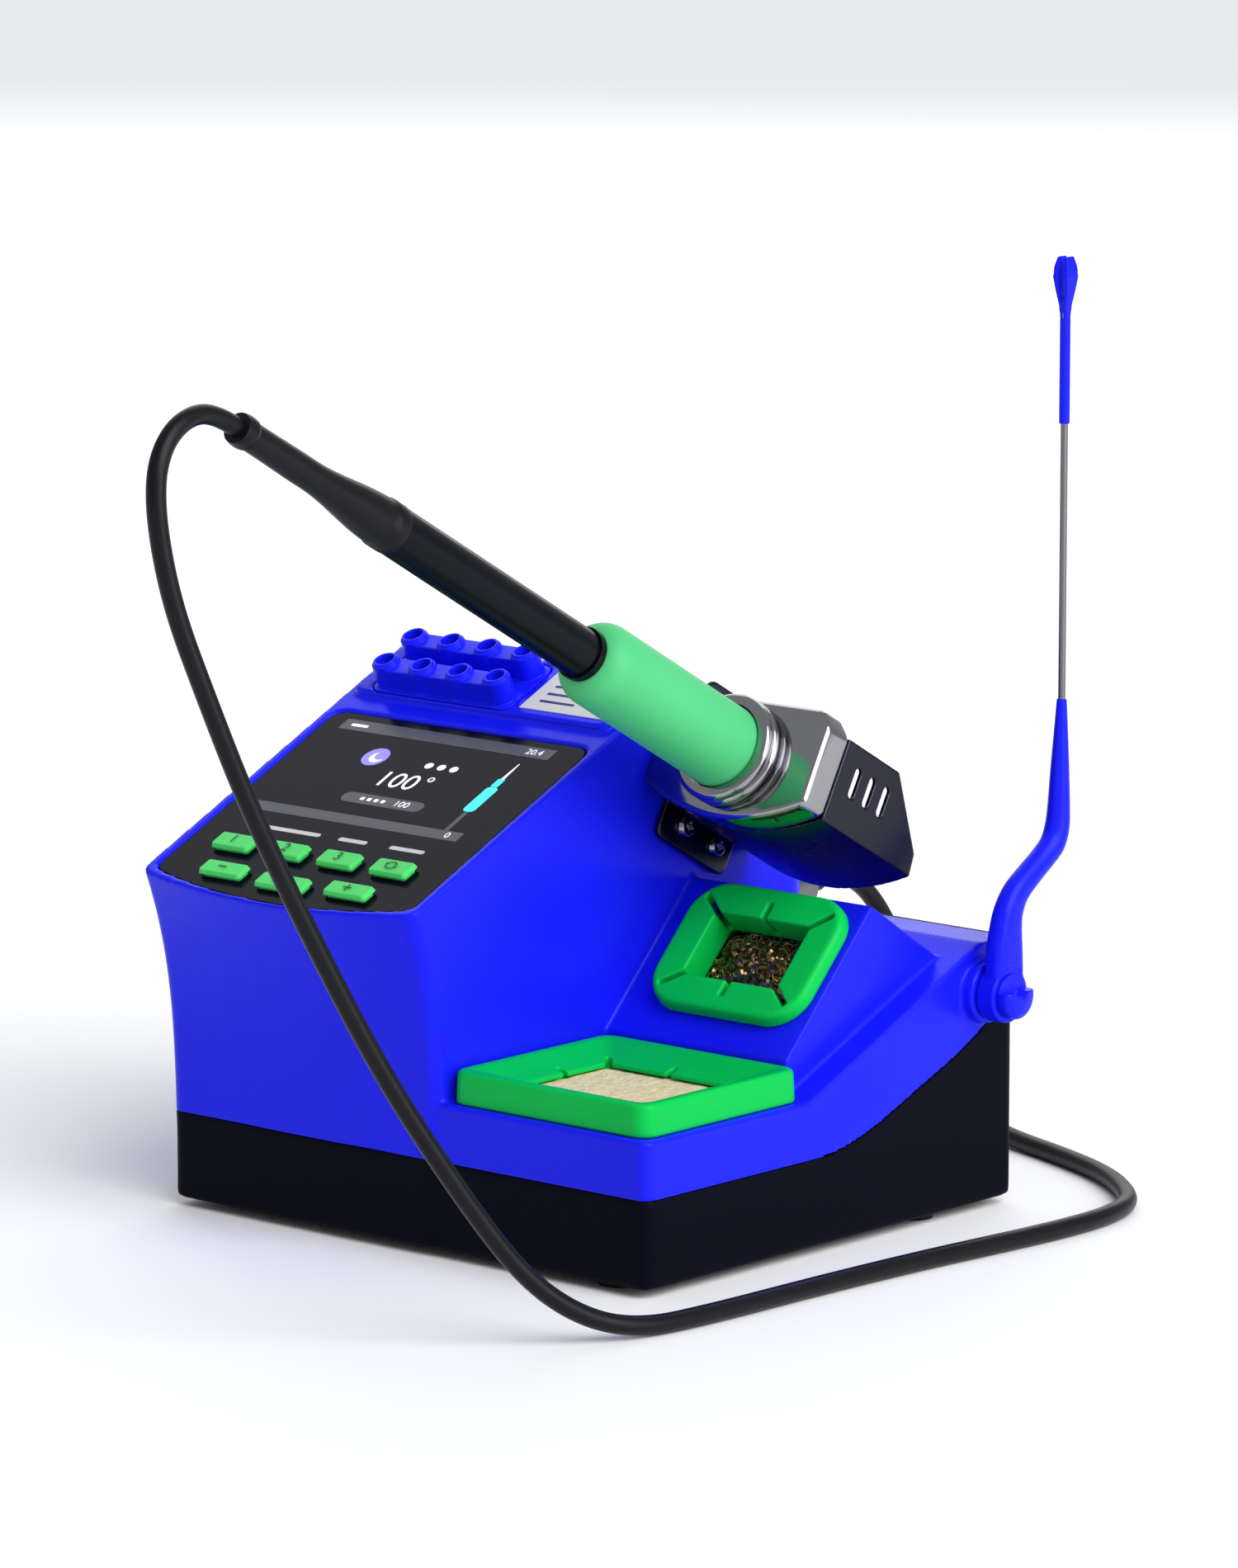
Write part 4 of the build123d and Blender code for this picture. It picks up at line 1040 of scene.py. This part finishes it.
    def sign(self, name: str, x: float, y: float) -> bpy.types.Mesh:
        """Generic sign of one key: a figure, a plus, a minus, three bars or two turning arrows."""
        low, high = self.sign_low, self.sign_low + self.print_rise
        figures = {"button_1": "1", "button_2": "2", "button_3": "3"}
        if name in figures:
            return self.words(figures[name], x, y, 4.4, low, high)
        bars = {
            "button_minus": [self.box(x, y, 2.6, 0.45, 0.1)],
            "button_plus": [self.box(x, y, 2.6, 0.45, 0.1), self.box(x, y, 0.45, 2.6, 0.1)],
            "button_menu": [self.box(x, y + d, 4.2, 0.45, 0.1) for d in (-1.1, 0.0, 1.1)],
        }
        if name in bars:
            return joined([plate(o, low, high, PANEL) for o in bars[name]])
        parts = []
        for start in (20.0, 200.0):
            arc = [math.radians(start + 130 * i / 12) for i in range(13)]
            outline = [(x + 1.75 * math.cos(a), y + 1.45 * math.sin(a)) for a in arc]
            outline += [(x + 1.35 * math.cos(a), y + 1.08 * math.sin(a)) for a in reversed(arc)]
            parts.append(plate(outline, low, high, PANEL))
            tip = arc[-1]
            at = (x + 1.55 * math.cos(tip), y + 1.27 * math.sin(tip))
            way = Vector((-math.sin(tip), math.cos(tip)))
            out = Vector((math.cos(tip), math.sin(tip)))
            head = [Vector(at) + way * 1.0, Vector(at) + out * 0.6, Vector(at) - out * 0.6]
            parts.append(plate([tuple(v) for v in head], low, high, PANEL))
        return joined(parts)

    def label(self, finishes: Finishes) -> None:
        """Small pale label on the deck with plain dashes."""
        dress(finishes.paper, "deck_label")
        marks = [self.box(21.4, up, 11.0, 0.9, 0.3) for up in (9.6, 12.8, 16.0)]
        low = self.label_face
        parts = [plate(outline, low, low + self.print_rise, PANEL) for outline in marks]
        put("label_marks", joined(parts), finishes.ink, "base", Slot.LABEL)

    def build(self, finishes: Finishes) -> None:
        """Make the whole panel."""
        dress(finishes.window, "display_window")
        self.content(finishes)
        self.print(finishes)
        self.keys(finishes)
        self.label(finishes)


# ---------------------------------------------------------------- cleaning trays
@dataclass
class SpongeTray:
    """Green silicone tray with a flapped lip, and the sponge in it."""

    half_width: float = 30.5
    half_depth: float = 28.0
    height: float = 8.0
    mouth_half_width: float = 18.5
    mouth_half_depth: float = 15.0
    slit: float = 1.5

    def shape(self) -> bpy.types.Mesh:
        """Tray body before its slits are cut."""
        w, d, h = self.half_width, self.half_depth, self.height
        mw, md = self.mouth_half_width, self.mouth_half_depth
        profile = [
            (22.0, 18.0, 3.0, -4.0),
            (22.0, 18.0, 3.0, 0.05),
            (w, d, 4.2, 0.05),
            (w - 0.25, d - 0.25, 4.2, h),
            (w - 2.6, d - 2.6, 3.2, h),
            (mw + 3.6, md + 3.6, 2.4, h - 2.4),
            (mw, md, 1.2, h - 3.5),
            (mw, md, 1.2, h - 4.7),
            (21.0, 17.5, 3.0, h - 4.8),
            (21.0, 17.5, 3.0, -2.8),
        ]
        radii = [0, 0.2, 0.5, 1.3, 0.9, 2.2, 0.5, 0.4, 0.3, 0]
        return ring_solid(round_profile(profile, radii), TRAY, 8)

    def slits(self) -> list[bpy.types.Mesh]:
        """Wedge cuts between the lip's flaps: one at each corner and one in each side."""
        mw, md = self.mouth_half_width, self.mouth_half_depth
        high = self.height + 2
        cuts = []
        spots = [(mw, 0.0, 0.0), (-mw, 0.0, 180.0), (0.0, md, 90.0), (0.0, -md, 270.0)]
        spots += [(mw * sx, md * sy, math.degrees(math.atan2(sy, sx))) for sx in (1, -1) for sy in (1, -1)]
        for x, y, angle in spots:
            turn = Matrix.Translation((x, y, 0)) @ Matrix.Rotation(math.radians(angle), 4, "Z")
            half = self.slit / 2
            outline = [(-3.0, -half), (2.2, -half), (3.4, 0.0), (2.2, half), (-3.0, half)]
            cuts.append(plate(outline, self.height - 5.6, high, TRAY @ turn))
        return cuts

    def build(self, finishes: Finishes) -> None:
        """Make the tray and the sponge."""
        soft = Softening(0.3, 3, 60000)
        mesh = soft.apply(cut(self.shape(), self.slits()))
        put("sponge_dish", smooth(mesh, 50), finishes.green, "tray", Slot.GREEN, "sponge_tray")
        self.sponge(finishes)

    def sponge(self, finishes: Finishes) -> None:
        """Sponge with an uneven porous top."""
        low, top = -2.7, 2.9
        profile = [(20.4, 16.9, 2.6, low), (20.5, 17.0, 2.6, top), (18.0, 14.6, 2.2, top)]
        mesh = ring_solid(round_profile(profile, [0, 0.8, 0]), TRAY, 6)
        work = new_piece("sponge_work", mesh)
        remesh = work.modifiers.new("voxels", "REMESH")
        remesh.mode = "VOXEL"
        remesh.voxel_size = 0.45 * MM
        mesh = settled(work)
        draw = np.random.default_rng(7)
        count = len(mesh.vertices)
        places = np.empty(count * 3)
        mesh.vertices.foreach_get("co", places)
        places = places.reshape(-1, 3)
        ceiling = (37.4 + top - 0.3) * MM
        waves = sum(
            np.sin(places @ draw.normal(0, 900, 3) + draw.uniform(0, 6.28)) for _ in range(12)
        )
        on_top = places[:, 2] > ceiling
        places[on_top, 2] -= np.abs(waves[on_top]) * 0.035 * MM
        mesh.vertices.foreach_set("co", places.ravel())
        put("sponge_pad", smooth(mesh, 80), finishes.foam, "tray", Slot.SPONGE, "sponge")


@dataclass
class WoolCup:
    """Leaning green cup with a slit mouth and the brass wool in it."""

    half_width: float = 23.7
    half_height: float = 18.0
    rim: float = 4.2
    mouth_half_width: float = 14.5
    mouth_half_height: float = 9.0

    def shape(self) -> bpy.types.Mesh:
        """Cup body before its slits are cut."""
        w, h = self.half_width, self.half_height
        mw, mh = self.mouth_half_width, self.mouth_half_height
        profile = [
            (20.0, 14.3, 4.0, -22.0),
            (20.0, 14.3, 4.0, 0.05),
            (w, h, 10.0, 0.05),
            (w - 0.3, h - 0.3, 10.0, self.rim),
            (mw, mh, 1.2, self.rim - 0.3),
            (mw + 0.6, mh + 0.6, 1.4, -5.0),
            (18.0, 12.3, 3.0, -5.4),
            (18.0, 12.3, 3.0, -20.0),
        ]
        radii = [0, 0.3, 0.7, 1.6, 0.45, 0.3, 0.3, 0]
        return ring_solid(round_profile(profile, radii, 5), CUP, 9)

    def slits(self) -> list[bpy.types.Mesh]:
        """Relief slits at the mouth's corners and at the middle of its long sides."""
        mw, mh = self.mouth_half_width, self.mouth_half_height
        spots = [(0.0, mh, 90.0, 4.6), (0.0, -mh, 270.0, 4.6)]
        spots += [
            (mw * sx, mh * sy, math.degrees(math.atan2(sy * 0.8, sx)), 6.6)
            for sx in (1, -1)
            for sy in (1, -1)
        ]
        cuts = []
        for x, y, angle, length in spots:
            turn = Matrix.Translation((x, y, 0)) @ Matrix.Rotation(math.radians(angle), 4, "Z")
            outline = [(-2.0, -0.75), (length, -0.75), (length, 0.75), (-2.0, 0.75)]
            cuts.append(plate(outline, -3.6, self.rim + 2, CUP @ turn))
        return cuts

    def build(self, finishes: Finishes) -> None:
        """Make the cup and the wool."""
        soft = Softening(0.32, 3, 60000)
        mesh = soft.apply(cut(self.shape(), self.slits()))
        put("cup_body", smooth(mesh, 50), finishes.green, "cup", Slot.GREEN, "wool_cup")
        self.wool(finishes)

    def curl(self) -> bpy.types.Mesh:
        """One open turn of flat brass ribbon, in metres."""
        steps, radius, width = 9, 1.25, 0.62
        points, faces = [], []
        for step in range(steps + 1):
            angle = math.radians(290 * step / steps)
            climb = 0.9 * step / steps
            for thick in (0.0, 0.09):
                for side in (-0.5, 0.5):
                    r = (radius + thick) * MM
                    points.append(
                        Vector((r * math.cos(angle), r * math.sin(angle), (side * width + climb) * MM))
                    )
        for step in range(steps):
            a, b = 4 * step, 4 * step + 4
            faces += [
                (a, a + 1, b + 1, b),
                (a + 2, b + 2, b + 3, a + 3),
                (a, b, b + 2, a + 2),
                (a + 1, a + 3, b + 3, b + 1),
            ]
        faces += [(0, 2, 3, 1), (4 * steps, 4 * steps + 1, 4 * steps + 3, 4 * steps + 2)]
        return mesh_from(points, faces)

    def wool(self, finishes: Finishes) -> None:
        """Ball of swarf: a dark core with curls spread over its dome."""
        rings = [
            (17.4, 11.8, 3.0, -19.8),
            (17.4, 11.8, 4.0, -9.0),
            (13.5, 8.6, 6.0, -5.6),
            (8.0, 5.2, 4.0, -3.2),
            (3.0, 2.0, 1.8, -2.3),
        ]
        core = ring_solid(rings, CUP, 6)
        holder = new_piece("wool_core", core, finishes.brass)
        seed_shape = new_piece("wool_curl", self.curl(), finishes.brass)
        group = bpy.data.node_groups.new("swarf", "GeometryNodeTree")
        face = group.interface
        face.new_socket("Geometry", in_out="INPUT", socket_type="NodeSocketGeometry")
        density = face.new_socket("Density", in_out="INPUT", socket_type="NodeSocketFloat")
        seed = face.new_socket("Seed", in_out="INPUT", socket_type="NodeSocketInt")
        face.new_socket("Geometry", in_out="OUTPUT", socket_type="NodeSocketGeometry")
        nodes = group.nodes
        enter = nodes.new("NodeGroupInput")
        leave = nodes.new("NodeGroupOutput")
        scatter = nodes.new("GeometryNodeDistributePointsOnFaces")
        instance = nodes.new("GeometryNodeInstanceOnPoints")
        source = nodes.new("GeometryNodeObjectInfo")
        source.inputs["Object"].default_value = seed_shape
        turn = nodes.new("FunctionNodeRandomValue")
        turn.data_type = "FLOAT_VECTOR"
        turn.inputs[1].default_value = (6.283, 6.283, 6.283)
        size = nodes.new("FunctionNodeRandomValue")
        size.inputs[2].default_value = 0.75
        size.inputs[3].default_value = 1.25
        real = nodes.new("GeometryNodeRealizeInstances")
        paint = nodes.new("GeometryNodeSetMaterial")
        paint.inputs["Material"].default_value = finishes.brass
        join = nodes.new("GeometryNodeJoinGeometry")
        for source_node, output, target, socket in (
            (enter, "Geometry", scatter, "Mesh"),
            (enter, "Density", scatter, "Density"),
            (enter, "Seed", scatter, "Seed"),
            (enter, "Seed", turn, "Seed"),
            (enter, "Seed", size, "Seed"),
            (scatter, "Points", instance, "Points"),
            (source, "Geometry", instance, "Instance"),
            (turn, 0, instance, "Rotation"),
            (size, 1, instance, "Scale"),
            (instance, "Instances", join, "Geometry"),
            (enter, "Geometry", join, "Geometry"),
            (join, "Geometry", real, "Geometry"),
            (real, "Geometry", paint, "Geometry"),
            (paint, "Geometry", leave, "Geometry"),
        ):
            group.links.new(source_node.outputs[output], target.inputs[socket])
        change = holder.modifiers.new("swarf", "NODES")
        change.node_group = group
        change[density.identifier] = 700000.0
        change[seed.identifier] = 11
        mesh = settled(holder)
        bpy.data.objects.remove(seed_shape)
        put("brass_swarf", smooth(mesh, 35), finishes.brass, "cup", Slot.BRASS, "brass_wool")


# ---------------------------------------------------------------- tool holder
@dataclass
class ToolHolder:
    """Chrome casting with its ribbed collar, bent sheet and screws."""

    face: float = -7.5
    depth: float = 9.0
    half: float = 25.0
    top: float = 14.4
    side: float = -9.5
    belly: float = -16.0
    bore: float = 10.8
    rib: float = 13.6

    def outline(self, inset: float) -> Outline:
        """Outline of the plate: chamfered top corners and a hanging belly."""
        half, top = self.half - inset, self.top - inset
        points = [(half, self.side), (half, top - 4.0), (half - 4.0, top)]
        points += [(4.0 - half, top), (-half, top - 4.0)]
        for step in range(24):
            x = -half + 2 * half * step / 24
            drop = (self.side - self.belly - inset) * (1.0 - (x / half) ** 2)
            points.append((x, self.side - drop))
        return points

    def casting(self) -> bpy.types.Mesh:
        """Plate with wide soft edges, hollow behind, and a collar with two round ribs."""
        block = new_piece("block", plate(self.outline(0.0), self.face - self.depth, self.face, IRON))
        rounding = block.modifiers.new("edges", "BEVEL")
        rounding.width = 1.5 * MM
        rounding.segments = 5
        rounding.limit_method = "ANGLE"
        shape = [(0.01, self.face - 1.5), (12.4, self.face - 1.5)]
        for middle in (self.face + 1.55, self.face + 4.5):
            for step in range(9):
                u = -1.0 + step / 4
                shape.append((12.2 + (self.rib - 12.2) * math.sqrt(1.0 - u * u), middle + 1.45 * u))
        shape += [(0.01, self.face + 5.95)]
        solid = cut(settled(block), [lathe(shape, IRON, 96)], "UNION")
        hollow = plate(self.outline(2.2), self.face - self.depth - 2, self.face - 2.2, IRON)
        hole = lathe([(self.bore, -30.0), (self.bore, 10.0)], IRON, 96)
        return cut(cut(solid, [hollow]), [hole])

    def build(self, finishes: Finishes) -> None:
        """Make the casting, the bent sheet and the screws."""
        casting = smooth(self.casting(), 35)
        put("holder_casting", casting, finishes.chrome, "base", Slot.CHROME, "holder_front")
        sheet = Softening(0.3, 3, 60000).apply(merged_copy("holder_shroud"))
        put("bent_sheet", smooth(sheet, 50), finishes.sheet, "base", Slot.SHEET, "holder_shroud")
        screws = Softening(0.12, 4, 20000).apply(merged_copy("holder_screws"))
        put("bracket_screws", smooth(screws, 50), finishes.chrome, "base", Slot.CHROME, "holder_screws")


# ---------------------------------------------------------------- iron
@dataclass
class Iron:
    """Handle tube, grip, strain relief and cartridge."""

    tube_back: float = 130.0
    tube_radius: float = 5.95

    def boot(self) -> bpy.types.Mesh:
        """Strain relief: a collar, a waisted cone and a bead where the cable leaves."""
        base, radius = self.tube_back, self.tube_radius
        shape = [(0.0, 0.0), (radius + 0.1, 0.0), (radius + 0.15, 0.4)]
        shape += [(radius + 0.15, 4.2), (radius - 0.15, 4.6)]
        for step in range(1, 13):
            t = step / 12
            ease = t * t * (3 - 2 * t)
            shape.append((radius - 0.15 - (radius - 3.75) * ease, 4.6 + 26.0 * t))
        shape += [(3.62, 36.0), (3.5, 46.0), (3.46, 53.0)]
        shape += [(3.85, 53.4), (4.0, 54.4), (4.0, 56.0), (3.7, 57.3)]
        shape += [(2.6, 57.5), (0.0, 57.5)]
        return lathe([(r, base + z) for r, z in shape], IRON, 56)

    def build(self, finishes: Finishes) -> None:
        """Make the boot and dress the rest."""
        put("strain_relief", smooth(self.boot(), 40), finishes.rubber, "iron", Slot.RUBBER, "iron_boot")
        dress(finishes.tube, "iron_tube")
        dress(finishes.grip, "iron_grip")
        dress(finishes.steel, "iron_cartridge", "contact_sleeve")


# ---------------------------------------------------------------- cable arm
@dataclass
class CableArm:
    """Blue arm, its half-round pin, the steel rod and the fork."""

    middle_x: float = 82.95
    pivot_y: float = 54.05
    pivot_z: float = 54.3

    def stations(self) -> list[tuple[float, float, float, float]]:
        """Centreline of the bar from the strap up: y and z from the pivot, width and thickness."""
        return [
            (0.2, -4.0, 10.2, 5.6),
            (0.3, 4.0, 10.6, 5.8),
            (0.4, 11.0, 10.0, 5.8),
            (0.9, 16.5, 8.6, 5.8),
            (2.0, 20.4, 7.6, 5.8),
            (4.7, 24.3, 6.8, 5.8),
            (9.7, 27.9, 6.4, 5.9),
            (15.0, 31.3, 6.4, 6.0),
            (18.6, 34.2, 6.5, 6.1),
            (20.3, 38.2, 6.2, 6.0),
            (20.8, 43.0, 5.6, 5.5),
            (21.1, 52.3, 4.6, 4.6),
            (21.4, 61.0, 3.5, 3.5),
            (21.6, 69.0, 2.5, 2.5),
        ]

    def bar(self) -> bpy.types.Mesh:
        """Bar of oval sections along a smooth line through the stations."""
        marks = np.array(self.stations())
        fine = []
        for index in range(len(marks) - 1):
            before = marks[max(index - 1, 0)]
            after = marks[min(index + 2, len(marks) - 1)]
            here, following = marks[index], marks[index + 1]
            for step in range(8):
                t = step / 8
                fine.append(
                    0.5
                    * (
                        2 * here
                        + (following - before) * t
                        + (2 * before - 5 * here + 4 * following - after) * t**2
                        + (3 * here - before - 3 * following + after) * t**3
                    )
                )
        fine.append(marks[-1])
        points: list[Vector] = []
        steps = 40
        for index, (y, z, width, thick) in enumerate(fine):
            ahead = fine[min(index + 1, len(fine) - 1)] - fine[max(index - 1, 0)]
            way = Vector((0.0, ahead[0], ahead[1])).normalized()
            across = Vector((0.0, way.z, -way.y))
            squareness = 2.0 + 1.4 * min(1.0, max(0.0, (30.0 - z) / 20.0))
            for step in range(steps):
                angle = 2 * math.pi * step / steps
                cos, sin = math.cos(angle), math.sin(angle)
                a = math.copysign(abs(cos) ** (2 / squareness), cos) * width / 2
                b = math.copysign(abs(sin) ** (2 / squareness), sin) * thick / 2
                centre = Vector((self.middle_x, self.pivot_y + y, self.pivot_z + z))
                points.append(centre + across * a + Vector((b, 0.0, 0.0)))
        return mesh_from(points, tube_faces(len(fine), steps), Matrix.Scale(MM, 4))

    def disc_frame(self) -> Matrix:
        """Frame of the pivot, with local z along the pivot's axis."""
        turn = Matrix(((0, 0, 1), (1, 0, 0), (0, 1, 0))).to_4x4()
        centre = Vector((self.middle_x, self.pivot_y, self.pivot_z))
        return Matrix.Scale(MM, 4) @ Matrix.Translation(centre) @ turn

    def arm(self) -> bpy.types.Mesh:
        """Bar with its round hub and the outer face scooped behind the pin's head."""
        frame_here = self.disc_frame()
        hub = lathe([(6.4, -3.1), (6.7, -2.5), (6.7, 2.5), (6.4, 3.1)], frame_here, 56)
        solid = cut(self.bar(), [hub], "UNION")
        scoop = lathe([(7.0, 2.2), (7.0, 8.0)], frame_here, 56)
        bore = lathe([(2.5, -6.0), (2.5, 6.0)], frame_here, 32)
        return cut(cut(solid, [scoop]), [bore])

    def pin(self) -> bpy.types.Mesh:
        """Pin with a domed half-round head, flat and notched on top."""
        frame_here = self.disc_frame()
        shape = [(2.4, -7.5), (2.4, 2.4), (5.3, 2.45), (5.5, 2.9), (5.5, 4.4)]
        shape += [(5.2, 5.2), (4.2, 5.9), (2.2, 6.3), (0.01, 6.4)]
        body = lathe(shape, frame_here, 56)
        flat = [(-9.0, 1.4), (9.0, 1.4), (9.0, 9.0), (-9.0, 9.0)]
        notch = lathe([(1.5, 3.2), (2.6, 7.5)], frame_here @ Matrix.Translation((-0.2, 1.9, 0.0)), 24)
        return cut(cut(body, [plate(flat, 2.9, 9.0, frame_here)]), [notch])

    def build(self, finishes: Finishes) -> None:
        """Make the plastic pieces and dress the rod."""
        soft = Softening(0.3, 5, 50000)
        arm = soft.apply(self.arm())
        put("arm_body", smooth(arm, 60), finishes.blue, "arm", Slot.BLUE, "guide_arm")
        pin = Softening(0.2, 3, 30000).apply(self.pin())
        put("arm_pin", smooth(pin, 60), finishes.blue, "base", Slot.BLUE, "guide_pin")
        clip = Softening(0.14, 3, 30000).apply(merged_copy("guide_clip"))
        put("arm_fork", smooth(clip, 60), finishes.blue, "arm", Slot.BLUE, "guide_clip")
        dress(finishes.steel, "guide_rod")


def dress_rest(finishes: Finishes) -> None:
    """Give the rear fittings, the feet and the inside their finishes."""
    dress(finishes.steel, "cord_socket", "plug_nut", "housing_screws")
    dress(finishes.rubber, "cord_plug", "feet")
    dress(finishes.black, "power_inlet", "power_switch", "screen_module", "key_switches")
    dress(finishes.tube, "rocker", "capacitors")
    dress(finishes.board, "control_board", "power_board")
    dress(finishes.core, "transformer")
    dress(finishes.steel, "heat_sink")


def main() -> None:
    """Build the studio, then every sub-assembly of the station."""
    logging.basicConfig(level=logging.INFO, format="%(name)s: %(message)s")
    Studio().build()
    finishes = Finishes()
    IronCord().build(finishes)
    Housings().build(finishes)
    Display().build(finishes)
    SpongeTray().build(finishes)
    WoolCup().build(finishes)
    ToolHolder().build(finishes)
    Iron().build(finishes)
    CableArm().build(finishes)
    dress_rest(finishes)


if __name__ == "__main__":
    main()
